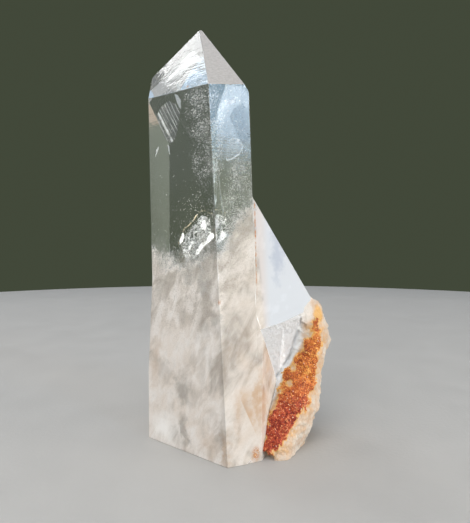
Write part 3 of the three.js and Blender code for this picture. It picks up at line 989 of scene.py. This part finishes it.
def quartz_material(props):
    """Quartz: clear above and cloudy below, with iron stains, painted shade and highlights, a frosted face
    with a painted reflection, and broken parts.
    """
    nodes = Surface("quartz")
    ground = Ground(nodes)
    raw, rust, worn, frosted_reflecting = (nodes.mask(name) for name in ("raw", "rust", "worn", "frost_and_reflection"))

    # The cloud: milk is 1 in it, and upper is 1 near its top
    depth = milk_depth(nodes, ground)
    milk = nodes.rise(depth, 0.0, 7.0)
    upper = nodes.rise(depth, 24.0, 8.0)
    side = side_crystal(nodes, ground)
    # Painted light at the left of the foot, where the cloud is also made thicker
    foot_painted_light = nodes.spot(ground.warped, *FOOT_PAINTED_LIGHT, 0.1)
    density = nodes.larger(cloud_density(nodes, ground, upper), nodes.times(side, 0.9))
    density = nodes.larger(density, foot_painted_light)
    clearness = nodes.blend(milk, 0.98, nodes.blend(density, 0.64, 0.12))
    cloud = cloud_colour(nodes, ground, props, upper, side, foot_painted_light)
    cloud = nodes.mix(peach_wash(nodes, ground), cloud, props.stain_colour)
    colour = nodes.mix(milk, (0.98, 0.985, 0.98), cloud)
    marks = rust_marks(nodes, ground)
    colour = nodes.mix(marks, colour, (0.42, 0.17, 0.05))

    # The right face of the point is finely frosted, with a dull grey-brown painted reflection
    frost_reflection_mottle = nodes.noise(nodes.scaled(ground.place, (1.6, 1.6, 3.0)), 1.0, 6.0, 0.8)
    frost_and_reflection = nodes.times(frosted_reflecting, nodes.rise(frost_reflection_mottle, 0.34, 0.66, 0.84, 0.94))
    frost_reflection_colour = nodes.mix(nodes.rise(frost_reflection_mottle, 0.36, 0.62), (0.215, 0.195, 0.175), (0.375, 0.34, 0.31))
    colour = nodes.mix(frost_and_reflection, colour, frost_reflection_colour)
    clearness = nodes.without(clearness, frost_and_reflection)

    # Broken quartz, and worn edges painted white and dull as a painted highlight
    colour = nodes.mix(raw, colour, broken_colour(nodes, ground, props, rust))
    clearness = nodes.without(clearness, nodes.larger(nodes.times(raw, 0.92), marks))
    edge_highlight = edge_wear_highlights(nodes, ground, worn)
    colour = nodes.mix(edge_highlight, colour, (0.97, 0.97, 0.97))
    clearness = nodes.without(clearness, nodes.times(edge_highlight, 0.8))
    broken_finish = nodes.blend(rust, nodes.rise(ground.grain, 0.4, 0.7, 0.28, 0.5), 0.7)
    finish = nodes.blend(raw, nodes.blend(milk, 0.015, 0.07), broken_finish)

    absorption = nodes.add(
        "ShaderNodeVolumeAbsorption",
        {"Color": props.absorption_colour, "Density": props.absorption_density},
    )
    nodes.put(absorption.outputs[0], nodes.output.inputs["Volume"])
    return nodes.shaded(
        Base_Color=colour,
        Roughness=nodes.larger(finish, nodes.times(worn, 0.25)),
        Transmission_Weight=clearness,
        Normal=quartz_relief(nodes, ground, raw, frosted_reflecting),
        IOR=props.ior,
    )


class OBJECT_OT_quartz_body(bpy.types.Operator):
    """Makes the crystal from the solid: flat faces, grained broken quartz and the quartz material"""

    bl_idname = "object.quartz_body"
    bl_label = "Quartz Body"

    def execute(self, context):
        props = context.scene.quartz_crystal
        mesh = crystal_mesh(props)
        layers = mesh.faces.layers.int
        flags = [(face[layers["raw"]], face[layers["worn"]]) for face in mesh.faces]
        data = bpy.data.meshes.new("quartz_body")
        mesh.to_mesh(data)
        mesh.free()
        write_masks(data, flags)
        data.materials.append(quartz_material(props))
        body = place_piece("quartz_body", data)
        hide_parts("quartz_crystal")
        return {"FINISHED"}


# Sheets inside the quartz


def inside_depth(tree, point):
    """How deep a point lies under the crystal's surface. Outside it the depth is negative."""
    near, normal, _, gap = tree.find_nearest(point)
    return gap if (point - near).dot(normal) < 0 else -gap


def crystal_tree():
    """Search tree over the faces of the solid."""
    mesh = bmesh.new()
    mesh.from_mesh(SOLID.data)
    tree = BVHTree.FromBMesh(mesh)
    mesh.free()
    return tree


def sheet_mesh(name, points, faces, fades):
    """A thin sheet with a fade value at each point, made of the faces that are inside the crystal."""
    used = sorted({index for face in faces for index in face})
    if not used:
        raise RuntimeError(f"{name} has no face inside the crystal")
    order = {old: new for new, old in enumerate(used)}
    data = bpy.data.meshes.new(name)
    data.from_pydata(
        [points[index] for index in used],
        [],
        [[order[index] for index in face] for face in faces],
    )
    data.polygons.foreach_set("use_smooth", [True] * len(data.polygons))
    fade = data.attributes.new("fade", "FLOAT", "POINT")
    fade.data.foreach_set("value", [fades[index] for index in used])
    return data


def joined(name, sheets, material):
    """Makes one piece of several sheets, because they are one kind of mark."""
    data = bpy.data.meshes.new(name)
    mesh = bmesh.new()
    for sheet in sheets:
        mesh.from_mesh(sheet)
        bpy.data.meshes.remove(sheet)
    mesh.to_mesh(data)
    mesh.free()
    data.materials.append(material)
    place_piece(name, data)


def grid_points(centre, across, up, cells, bend, scale, seed):
    """Points, places and faces of a bent grid.

    across and up are its half sides, and bend is how far noise moves it off its plane.
    """
    away = across.cross(up).normalized()
    columns, rows = cells
    points, places = [], []
    for row in range(rows + 1):
        for column in range(columns + 1):
            u, v = 2 * column / columns - 1, 2 * row / rows - 1
            point = centre + across * u + up * v
            wave = noise.fractal(point * scale + Vector((seed * 7.3, seed * 3.1, seed)), 0.9, 2.0, 3)
            points.append(point + away * (wave * bend))
            places.append((u, v))
    faces = []
    for row in range(rows):
        for column in range(columns):
            a = row * (columns + 1) + column
            faces.append((a, a + 1, a + columns + 2, a + columns + 1))
    return points, places, faces


def outline_gap(u, v, outline):
    """Distance from a point of the plane to an outline, negative outside it."""
    inside = False
    gap = 1e9
    for (ax, ay), (bx, by) in zip(outline, outline[1:] + outline[:1]):
        if (ay > v) != (by > v) and u < (bx - ax) * (v - ay) / (by - ay) + ax:
            inside = not inside
        ex, ey = bx - ax, by - ay
        t = min(1.0, max(0.0, ((u - ax) * ex + (v - ay) * ey) / (ex * ex + ey * ey)))
        gap = min(gap, math.hypot(u - ax - ex * t, v - ay - ey * t))
    return gap if inside else -gap


def shaped_sheet(tree, name, outline, spacing, margin, bend, scale, seed):
    """A sheet cut to an outline of points, bent by noise, soft at its margin and inside the crystal."""
    centre = sum(outline, Vector()) / len(outline)
    sides = zip(outline, outline[1:] + outline[:1])
    normal = sum(((a - centre).cross(b - centre) for a, b in sides), Vector()).normalized()
    across = (outline[0] - centre - normal * (outline[0] - centre).dot(normal)).normalized()
    up = normal.cross(across)
    flat = [((p - centre).dot(across), (p - centre).dot(up)) for p in outline]
    reach = max(max(abs(u), abs(v)) for u, v in flat)
    cells = max(4, round(2 * reach / spacing))
    grid = grid_points(centre, across * reach, up * reach, (cells, cells), bend, scale, seed)
    points, places, faces = grid
    fades = []
    for u, v in places:
        gap = outline_gap(u * reach, v * reach, flat)
        fades.append(smooth_step(0.0, margin, gap) if gap > 0 else 0.0)
    kept = [
        face
        for face in faces
        if any(fades[index] > 0 for index in face)
        and all(inside_depth(tree, points[index]) > SHEET_DEPTH for index in face)
    ]
    return sheet_mesh(name, points, kept, fades)


def veil_material(props):
    """Healed veils: thin white wisps with fine beads along them."""
    nodes = Surface("healed_veil")
    place = nodes.in_millimetres()
    broad = nodes.noise(place, 0.22, 5.0, 0.6, 1.2)
    fine = nodes.noise(place, 1.6, 4.0, 0.7, 0.8)
    beads = nodes.noise(place, 5.0, 2.0, 0.5)
    film = nodes.times(nodes.rise(broad, 0.38, 0.68), nodes.rise(fine, 0.32, 0.72))
    film = nodes.times(film, nodes.rise(beads, 0.3, 0.6, 0.5, 1.0))
    film = nodes.times(film, nodes.mask("fade"))
    return nodes.shaded(
        Base_Color=nodes.mix(nodes.rise(broad, 0.4, 0.6), (0.93, 0.91, 0.89), (0.98, 0.98, 0.98)),
        Roughness=nodes.rise(fine, 0.3, 0.7, 0.3, 0.6),
        Alpha=nodes.math("MULTIPLY", film, props.veil_strength, clamp=True),
        IOR=1.33,
    )


def film_material(name, colour, threshold, scale, roughness, metallic, softness=0.06):
    """Air films in a fracture: bright and mirror-like where they open, nothing where they are closed."""
    nodes = Surface(name)
    place = nodes.in_millimetres()
    broad = nodes.noise(place, scale, 5.0, 0.65, 0.9)
    fine = nodes.noise(place, scale * 4.3, 3.0, 0.6, 0.4)
    closed = nodes.times(nodes.minus(nodes.mask("fade"), 1.0), 0.5)
    shape = nodes.plus(nodes.weighed(broad, 0.72, fine, 0.28), closed)
    return nodes.shaded(
        Base_Color=nodes.mix(fine, tuple(channel * 0.86 for channel in colour), colour),
        Metallic=metallic,
        Roughness=nodes.rise(fine, 0.3, 0.7, roughness * 0.6, roughness * 1.4),
        Alpha=nodes.rise(shape, threshold, threshold + softness),
        Normal=nodes.bump(fine, 0.00003, 0.5),
    )


class OBJECT_OT_quartz_veils(bpy.types.Operator):
    """Makes the healed veils that cloud the lower quartz"""

    bl_idname = "object.quartz_veils"
    bl_label = "Healed Veils"

    def execute(self, context):
        props = context.scene.quartz_inclusions
        tree = crystal_tree()
        source = random.Random(props.seed)
        sheets = []
        while len(sheets) < props.veils:
            centre = mm(*(source.uniform(*span) for span in VEIL_BOX))
            turn = Euler([source.uniform(*span) for span in VEIL_TURNS]).to_matrix()
            across = turn @ Vector((source.uniform(*VEIL_WIDTHS) * MM, 0, 0))
            up = turn @ Vector((0, source.uniform(*VEIL_HEIGHTS) * MM, 0))
            number = len(sheets)
            grid = grid_points(centre, across, up, VEIL_CELLS, VEIL_BEND, VEIL_WAVES, number)
            points, places, faces = grid
            depths = [inside_depth(tree, point) for point in points]
            kept = [face for face in faces if all(depths[index] > VEIL_DEPTH for index in face)]
            if len(kept) < LEAST_VEIL_FACES:
                continue
            fades = [
                smooth_step(VEIL_DEPTH, 1.4 * MM, depth)
                * (1 - smooth_step(0.55, 1.0, math.hypot(u, v)))
                * (1 - smooth_step(*VEIL_TOP, point.z - point.x * 0.7))
                for depth, (u, v), point in zip(depths, places, points)
            ]
            sheets.append(sheet_mesh(f"veil_{number}", points, kept, fades))
        joined("healed_veils", sheets, veil_material(props))
        return {"FINISHED"}


def plate_material():
    """Step plate: a dark mirror with bright straight steps across it."""
    nodes = Surface("step_film")
    place = nodes.in_millimetres()
    broad = nodes.noise(place, 0.5, 3.0, 0.6)
    haze = nodes.rise(nodes.noise(place, 2.5, 3.0, 0.6), 0.5, 0.7, 0.0, 0.4)
    across = nodes.vector("DOT_PRODUCT", place, STEP_DIRECTION).outputs["Value"]
    along = nodes.math("DIVIDE", across, STEP_SPACING)
    pace = nodes.noise(nodes.add("ShaderNodeCombineXYZ", {0: along}).outputs[0], 0.45, 2.0, 0.6)
    count = nodes.plus(along, nodes.scaled_noise(pace, 3.0))
    part = nodes.math("FRACT", count)
    number = nodes.add("ShaderNodeCombineXYZ", {0: nodes.math("FLOOR", count)}).outputs[0]
    shelf = nodes.noise(number, 0.77, 1.0)
    step = nodes.times(nodes.rise(part, 0.0, 0.05), nodes.rise(part, 0.10, 0.24, 1.0, 0.0))
    step = nodes.times(step, nodes.rise(shelf, 0.3, 0.65, 0.25, 1.0))
    step = nodes.times(step, nodes.rise(broad, 0.34, 0.52, 0.3, 1.0))
    fade = nodes.rise(nodes.mask("fade"), 0.02, 0.35)
    return nodes.shaded(
        Base_Color=nodes.mix(nodes.larger(step, haze), (0.25, 0.255, 0.235), (1.0, 1.0, 1.0)),
        Metallic=nodes.rise(step, 0.2, 0.6, 0.3, 0.4),
        Roughness=nodes.rise(step, 0.0, 1.0, 0.2, 0.45),
        Alpha=nodes.times(fade, nodes.rise(step, 0.0, 0.5, 0.6, 1.0)),
    )


def rim_material():
    """Shell fracture: almost clear, with a thin bright rim along its lower right side."""
    nodes = Surface("shell_film")
    place = nodes.in_millimetres()
    fade = nodes.mask("fade")
    ragged = nodes.plus(fade, nodes.scaled_noise(nodes.noise(place, 1.6, 4.0, 0.6), 0.5))
    rim = nodes.times(nodes.rise(ragged, 0.0, 0.12), nodes.rise(ragged, 0.3, 0.55, 1.0, 0.0))
    x, _, z = nodes.axes(place)
    lower_right = nodes.minus(nodes.times(x, 0.6), nodes.times(z, 0.8))
    rim = nodes.times(rim, nodes.rise(lower_right, -59.2, -57.8))
    patchy = nodes.rise(nodes.noise(place, 1.1, 4.0, 0.6), 0.4, 0.6, 0.0, 0.6)
    haze = nodes.times(nodes.rise(z, 72.6, 74.2), patchy)
    alpha = nodes.larger(nodes.times(rim, 0.75), nodes.larger(haze, nodes.times(fade, 0.16)))
    return nodes.shaded(
        Base_Color=(0.93, 0.95, 0.98),
        Metallic=0.3,
        Roughness=0.35,
        Alpha=nodes.times(alpha, nodes.rise(fade, 0.0, 0.1)),
    )


def haze_material(name, strength):
    """Clouds of fine white specks on a sheet."""
    nodes = Surface(name)
    place = nodes.in_millimetres()
    cloud = nodes.rise(nodes.noise(place, 0.28, 5.0, 0.62, 0.6), 0.38, 0.66)
    dots = nodes.rise(nodes.noise(place, 2.6, 3.0, 0.75), 0.54, 0.64)
    alpha = nodes.times(nodes.times(nodes.plus(dots, 0.05), cloud), nodes.mask("fade"))
    return nodes.shaded(
        Base_Color=(0.97, 0.96, 0.94),
        Roughness=0.5,
        Alpha=nodes.math("MULTIPLY", alpha, strength, clamp=True),
    )


class OBJECT_OT_quartz_fractures(bpy.types.Operator):
    """Makes the feathery fracture, the step plate, the shell fracture, streaks, flares and hazes"""

    bl_idname = "object.quartz_fractures"
    bl_label = "Inner Fractures"

    def execute(self, context):
        tree = crystal_tree()
        bright = film_material("bright_film", (1.0, 1.0, 1.0), 0.28, 2.0, 0.34, 0.9)
        sparks = film_material("feather_sparks", (1.0, 1.0, 1.0), 0.515, 1.6, 0.34, 0.9)
        gold = film_material("gold_edge", (0.90, 0.78, 0.55), 0.5, 1.0, 0.35, 0.7)
        wisp = film_material("white_wisp", (0.97, 0.98, 1.0), 0.27, 0.9, 0.5, 0.0, 0.25)
        glow = film_material("pale_streak", (0.92, 0.96, 1.0), 0.12, 0.5, 0.5, 0.0, 0.9)
        haze = haze_material("speck_haze", 1.5)

        # The feathery fracture is three sheets, one behind the other
        deeper = [[(x + 0.3 * k, y + 0.9 * k, z) for x, y, z in FEATHER] for k in range(3)]

        # Name, outlines, material, mesh spacing, margin, bend (in millimetres), scale of the bend, seed
        marks = (
            ("feather_patches", FEATHER_PATCHES, bright, 0.12, 0.9, 0.12, 450, 4),
            ("feather_fracture", deeper, sparks, 0.2, 1.4, 0.4, 330, 14),
            ("feather_edge", (FEATHER_EDGE,), gold, 0.06, 0.05, 0.1, 450, 24),
            ("step_plate", (PLATE,), plate_material(), 0.12, 0.5, 0.35, 120, 2),
            ("shell_fracture", (SHELL,), rim_material(), 0.12, 1.0, 0.25, 500, 5),
            ("white_patch", (WHITE_PATCH,), wisp, 0.12, 1.2, 0.3, 500, 8),
            ("bright_streaks", STREAKS, glow, 0.12, 0.6, 0.06, 300, 11),
            ("flares", FLARES, bright, 0.08, 0.3, 0.1, 600, 31),
            ("speck_haze", HAZES, haze, 0.3, 1.6, 0.8, 200, 41),
        )
        for name, outlines, material, spacing, margin, bend, scale, seed in marks:
            sheets = []
            for k, outline in enumerate(outlines):
                points = [mm(*point) for point in outline]
                sizes = (spacing * MM, margin * MM, bend * MM)
                sheets.append(shaped_sheet(tree, f"{name}_{k}", points, *sizes, scale, seed + k))
            joined(name, sheets, material)
        return {"FINISHED"}


# Specks in the quartz and grains of the crust


class GrainTree:
    """A node group that puts small faceted grains on points, turned and sized at random."""

    INPUTS = {
        "Density": "NodeSocketFloat",
        "Smallest": "NodeSocketFloat",
        "Largest": "NodeSocketFloat",
        "Flatness": "NodeSocketFloat",
        "Seed": "NodeSocketInt",
        "Material": "NodeSocketMaterial",
    }

    def __init__(self, name, scatter):
        self.group = bpy.data.node_groups.new(name, "GeometryNodeTree")
        socket = self.group.interface.new_socket
        socket("Geometry", in_out="INPUT", socket_type="NodeSocketGeometry")
        for key, kind in self.INPUTS.items():
            socket(key, in_out="INPUT", socket_type=kind)
        socket("Geometry", in_out="OUTPUT", socket_type="NodeSocketGeometry")
        nodes = Nodes(self.group)
        given = nodes.add("NodeGroupInput").outputs
        seed = {"Seed": given["Seed"]}
        if scatter:
            cover = nodes.add("GeometryNodeInputNamedAttribute", {"Name": "cover"}, data_type="FLOAT")
            density = nodes.times(given["Density"], cover.outputs[0])
            points = nodes.add(
                "GeometryNodeDistributePointsOnFaces",
                {"Mesh": given["Geometry"], "Density": density, **seed},
            ).outputs["Points"]
        else:
            points = nodes.add("GeometryNodeMeshToPoints", {"Mesh": given["Geometry"]}).outputs[0]
        tone = nodes.add("FunctionNodeRandomValue", seed, data_type="FLOAT").outputs[1]
        points = nodes.add(
            "GeometryNodeStoreNamedAttribute",
            {"Geometry": points, "Name": "tone", "Value": tone},
            data_type="FLOAT",
            domain="POINT",
        ).outputs[0]
        grain = nodes.add("GeometryNodeMeshIcoSphere", {"Radius": 0.5, "Subdivisions": 1}).outputs[0]
        turn = nodes.add(
            "FunctionNodeRandomValue",
            {0: (-3.14, -3.14, -3.14), 1: (3.14, 3.14, 3.14), **seed},
            data_type="FLOAT_VECTOR",
        ).outputs[0]
        size = nodes.add(
            "FunctionNodeRandomValue",
            {2: given["Smallest"], 3: given["Largest"], "Seed": nodes.plus(given["Seed"], 1.0)},
            data_type="FLOAT",
        ).outputs[1]
        sides = {0: size, 1: nodes.times(size, 0.8), 2: nodes.times(size, given["Flatness"])}
        scale = nodes.add("ShaderNodeCombineXYZ", sides).outputs[0]
        grains = nodes.add(
            "GeometryNodeInstanceOnPoints",
            {"Points": points, "Instance": grain, "Rotation": turn, "Scale": scale},
        ).outputs[0]
        solid = nodes.add("GeometryNodeRealizeInstances", {0: grains}).outputs[0]
        done = nodes.add(
            "GeometryNodeSetMaterial",
            {"Geometry": solid, "Material": given["Material"]},
        ).outputs[0]
        output = nodes.add("NodeGroupOutput")
        nodes.tree.links.new(done, output.inputs[0])

    def grow(self, name, data, values):
        """Runs the group on a mesh and keeps the result as a plain mesh piece."""
        carrier = bpy.data.objects.new(name + "_carrier", data)
        bpy.context.scene.collection.objects.link(carrier)
        modifier = carrier.modifiers.new("grains", "NODES")
        modifier.node_group = self.group
        items = self.group.interface.items_tree
        identifiers = {item.name: item.identifier for item in items if item.in_out == "INPUT"}
        for key, value in zip(self.INPUTS, values):
            modifier[identifiers[key]] = value
        view = bpy.context.evaluated_depsgraph_get()
        result = bpy.data.meshes.new_from_object(carrier.evaluated_get(view), depsgraph=view)
        carrier.modifiers.remove(modifier)
        bpy.data.objects.remove(carrier)
        if not result.polygons:
            raise RuntimeError(f"{name} has no grains")
        result.name = name
        place_piece(name, result)


def speck_material():
    """White specks: small shiny flakes, some of them faint."""
    nodes = Surface("white_speck")
    tone = nodes.mask("tone")
    patch = nodes.noise(nodes.in_millimetres(), 0.8, 2.0)
    return nodes.shaded(
        Base_Color=nodes.mix(nodes.rise(patch, 0.35, 0.65), (0.86, 0.85, 0.82), (1.0, 1.0, 1.0)),
        Roughness=nodes.rise(tone, 0.0, 1.0, 0.15, 0.5),
        Metallic=0.3,
        Alpha=nodes.rise(tone, 0.0, 1.0, 0.35, 0.95),
    )


def grain_material():
    """Iron grains: the crust's colours, yellow at its fringe, with a few pale grains."""
    nodes = Surface("iron_grain")
    place = nodes.in_millimetres()
    tone = nodes.mask("tone")
    spread = nodes.weighed(nodes.noise(place, 0.4, 4.0, 0.6), 0.58, tone, 0.42)
    colour = iron_colour(nodes, nodes.axes(place)[2], spread)
    colour = nodes.mix(nodes.rise(nodes.mask("cover"), 0.45, 0.95, 0.85, 0.0), colour, (0.88, 0.54, 0.18))
    colour = nodes.mix(nodes.rise(tone, 0.97, 0.98), colour, (0.84, 0.60, 0.46))
    return nodes.shaded(
        Base_Color=colour,
        Roughness=nodes.rise(nodes.noise(place, 5.0, 2.0), 0.3, 0.7, 0.3, 0.6),
        Normal=nodes.bump(nodes.noise(place, 6.0, 3.0), 0.0001, 0.6),
    )


class OBJECT_OT_quartz_specks(bpy.types.Operator):
    """Scatters the fine white specks inside the clear quartz and along the top of the cloud"""

    bl_idname = "object.quartz_specks"
    bl_label = "White Specks"

    def execute(self, context):
        props = context.scene.quartz_inclusions
        tree = crystal_tree()
        source = random.Random(props.seed + 20)
        points = []
        total = sum(share for _, _, share in SPECK_CLOUDS)
        for centre, spread, share in SPECK_CLOUDS:
            wanted = round(props.specks * share / total)
            found = 0
            while found < wanted:
                point = mm(*(source.gauss(c, s) for c, s in zip(centre, spread)))
                thick = noise.fractal(point * 260, 0.8, 2.0, 4)
                if thick > source.uniform(-0.5, 0.4) and inside_depth(tree, point) > SPECK_DEPTH:
                    points.append(point)
                    found += 1
        data = bpy.data.meshes.new("speck_points")
        data.from_pydata(points, [], [])
        values = (1.0, *SPECK_SIZES, 0.45, props.seed, speck_material())
        GrainTree("speck_grains", False).grow("white_specks", data, values)
        return {"FINISHED"}


class OBJECT_OT_quartz_crust(bpy.types.Operator):
    """Grows the iron grains of the crust on the broken quartz"""

    bl_idname = "object.quartz_crust"
    bl_label = "Iron Crust"

    def execute(self, context):
        props = context.scene.quartz_inclusions
        body = bpy.data.objects["quartz_body"].data
        rust = body.attributes["rust"].data
        cover = {}
        faces = []
        for polygon in body.polygons:
            values = [rust[loop].value for loop in polygon.loop_indices]
            if max(values) > 0.3:
                faces.append(list(polygon.vertices))
                cover.update(zip(polygon.vertices, values))
        used = sorted(cover)
        order = {old: new for new, old in enumerate(used)}
        data = bpy.data.meshes.new("crust_patch")
        data.from_pydata(
            [body.vertices[index].co.copy() for index in used],
            [],
            [[order[index] for index in face] for face in faces],
        )
        mask = data.attributes.new("cover", "FLOAT", "POINT")
        mask.data.foreach_set("value", [cover[index] for index in used])
        sizes = (LEAST_GRAIN, props.grain_size)
        values = (props.grain_density, *sizes, 0.8, props.seed, grain_material())
        GrainTree("crust_grains", True).grow("iron_grains", data, values)
        return {"FINISHED"}


# Stage: table, backdrop, lights and camera


def soft_light(name, place, aim, size, power, colour):
    """A rectangular light at a place, turned to its aim and hidden from the camera."""
    light = bpy.data.lights.new(name, "AREA")
    light.shape = "RECTANGLE"
    light.size, light.size_y = size
    light.energy = power
    light.color = colour
    lamp = bpy.data.objects.new(name, light)
    lamp.location = place
    lamp.rotation_euler = (Vector(aim) - Vector(place)).to_track_quat("-Z", "Y").to_euler()
    lamp.visible_camera = False
    bpy.context.scene.collection.objects.link(lamp)


def backdrop(props):
    """Pale soft light from all round and overhead, with a dark backdrop behind the crystal."""
    world = bpy.data.worlds.new("studio")
    world.use_nodes = True
    nodes = Nodes(world.node_tree)
    output = nodes.add("ShaderNodeOutputWorld")
    direction = nodes.add("ShaderNodeTexCoord").outputs["Generated"]
    height = nodes.axes(direction)[2]
    level = nodes.vector("NORMALIZE", nodes.scaled(direction, (1, 1, 0))).outputs[0]
    right, ahead, _ = nodes.axes(level)

    # The backdrop is tall behind the crystal and low at the left, where pale light comes in
    left = nodes.rise(right, -0.35, -0.8)
    over = nodes.minus(height, nodes.blend(left, 0.5, 0.06))
    bright = tuple(channel * props.zenith_strength for channel in props.zenith_colour)
    side = tuple(channel * 0.62 for channel in bright)
    pale = nodes.mix(nodes.rise(height, 0.25, 0.85), side, bright)
    dark = nodes.mix(nodes.rise(ahead, 0.80, 0.90), props.flank_colour, props.backdrop_colour)
    colour = nodes.mix(nodes.rise(over, -0.03, 0.12), dark, pale)
    colour = nodes.mix(nodes.rise(height, -0.095, -0.108), colour, props.low_colour)

    # A soft blue opening behind the camera's right shoulder, and a warm card far behind at the right
    opening = nodes.spot(nodes.warped(direction, 4.0, 0.06), *BLUE_OPENING, 0.45)
    colour = nodes.mix(opening, colour, props.opening_colour)
    colour = nodes.mix(nodes.spot(direction, *WARM_CARD, 0.4), colour, WARM_CARD_COLOUR)
    background = nodes.add("ShaderNodeBackground", {"Color": colour, "Strength": 1.0})
    nodes.put(background.outputs[0], output.inputs[0])
    bpy.context.scene.world = world


def table_material(props):
    """Pale table: faintly mottled and dull."""
    nodes = Surface("pale_table")
    place = nodes.add("ShaderNodeTexCoord").outputs["Object"]
    mottle = nodes.noise(place, 60, 5.0, 0.6)
    shade = tuple(channel * 0.88 for channel in props.table_colour)
    return nodes.shaded(
        Base_Color=nodes.mix(mottle, shade, props.table_colour),
        Roughness=nodes.rise(mottle, 0.3, 0.7, 0.6, 0.75),
        Normal=nodes.bump(nodes.noise(place, 900, 3.0), 0.0002, 0.3),
    )


def table(props):
    """A round table with a rounded rim, just under the crystal."""
    mesh = bmesh.new()
    turns = [2 * math.pi * k / TABLE_SIDES for k in range(TABLE_SIDES)]
    rings = []
    for share, level in TABLE_PROFILE:
        reach = props.table_radius * share
        ring = [(reach * math.cos(turn), reach * math.sin(turn), level - TABLE_GAP) for turn in turns]
        rings.append([mesh.verts.new(place) for place in ring])
    centre = mesh.verts.new((0, 0, -TABLE_GAP))
    for k in range(TABLE_SIDES):
        after = (k + 1) % TABLE_SIDES
        mesh.faces.new((centre, rings[0][k], rings[0][after]))
        for inner, outer in zip(rings, rings[1:]):
            mesh.faces.new((inner[k], outer[k], outer[after], inner[after]))
    data = bpy.data.meshes.new("stage_table")
    mesh.to_mesh(data)
    mesh.free()
    data.polygons.foreach_set("use_smooth", [True] * len(data.polygons))
    data.materials.append(table_material(props))
    top = bpy.data.objects.new("stage_table", data)
    bpy.context.scene.collection.objects.link(top)


def fitted_camera(scene):
    """The camera that was fitted to the photograph."""
    camera = bpy.data.cameras.new("camera")
    camera.sensor_width = SENSOR_WIDTH
    camera.lens = FOCAL_PIXELS / PICTURE_HEIGHT * SENSOR_WIDTH
    camera.clip_start = 0.01
    camera.clip_end = 10
    view = bpy.data.objects.new("camera", camera)
    view.location = CAMERA_PLACE
    view.rotation_euler = Euler((math.radians(90 - CAMERA_TILT), 0, 0))
    scene.collection.objects.link(view)
    scene.camera = view


class OBJECT_OT_quartz_stage(bpy.types.Operator):
    """Makes the table, the backdrop, the soft lights and the camera"""

    bl_idname = "object.quartz_stage"
    bl_label = "Quartz Stage"

    def execute(self, context):
        props = context.scene.quartz_stage
        scene = context.scene
        table(props)
        backdrop(props)
        for light in LIGHTS:
            soft_light(*light)
        fitted_camera(scene)
        scene.view_settings.view_transform = "Standard"
        scene.cycles.max_bounces = 24
        scene.cycles.transmission_bounces = 20
        scene.cycles.glossy_bounces = 8
        scene.cycles.diffuse_bounces = 4
        scene.cycles.transparent_max_bounces = 32
        scene.cycles.caustics_refractive = True
        scene.cycles.caustics_reflective = True
        scene.cycles.blur_glossy = 0.5
        scene.cycles.use_denoising = True
        return {"FINISHED"}


class VIEW3D_PT_quartz(bpy.types.Panel):
    """Lists the steps that make the specimen"""

    bl_label = "Quartz Crystal"
    bl_idname = "VIEW3D_PT_quartz"
    bl_space_type = "VIEW_3D"
    bl_region_type = "UI"
    bl_category = "Quartz"

    def draw(self, context):
        layout = self.layout
        scene = context.scene
        for props in (scene.quartz_crystal, scene.quartz_inclusions, scene.quartz_stage):
            box = layout.box()
            for name in props.__annotations__:
                box.prop(props, name)
        for operator in OPERATORS:
            layout.operator(operator.bl_idname)


OPERATORS = (
    OBJECT_OT_quartz_body,
    OBJECT_OT_quartz_veils,
    OBJECT_OT_quartz_fractures,
    OBJECT_OT_quartz_specks,
    OBJECT_OT_quartz_crust,
    OBJECT_OT_quartz_stage,
)
CLASSES = (CrystalProps, InclusionProps, StageProps, *OPERATORS, VIEW3D_PT_quartz)


def register():
    for cls in CLASSES:
        bpy.utils.register_class(cls)
    bpy.types.Scene.quartz_crystal = bpy.props.PointerProperty(type=CrystalProps)
    bpy.types.Scene.quartz_inclusions = bpy.props.PointerProperty(type=InclusionProps)
    bpy.types.Scene.quartz_stage = bpy.props.PointerProperty(type=StageProps)


def unregister():
    del bpy.types.Scene.quartz_stage
    del bpy.types.Scene.quartz_inclusions
    del bpy.types.Scene.quartz_crystal
    for cls in reversed(CLASSES):
        bpy.utils.unregister_class(cls)


def main():
    register()
    bpy.ops.object.quartz_body()
    bpy.ops.object.quartz_veils()
    bpy.ops.object.quartz_fractures()
    bpy.ops.object.quartz_specks()
    bpy.ops.object.quartz_crust()
    bpy.ops.object.quartz_stage()


if __name__ == "__main__":
    main()
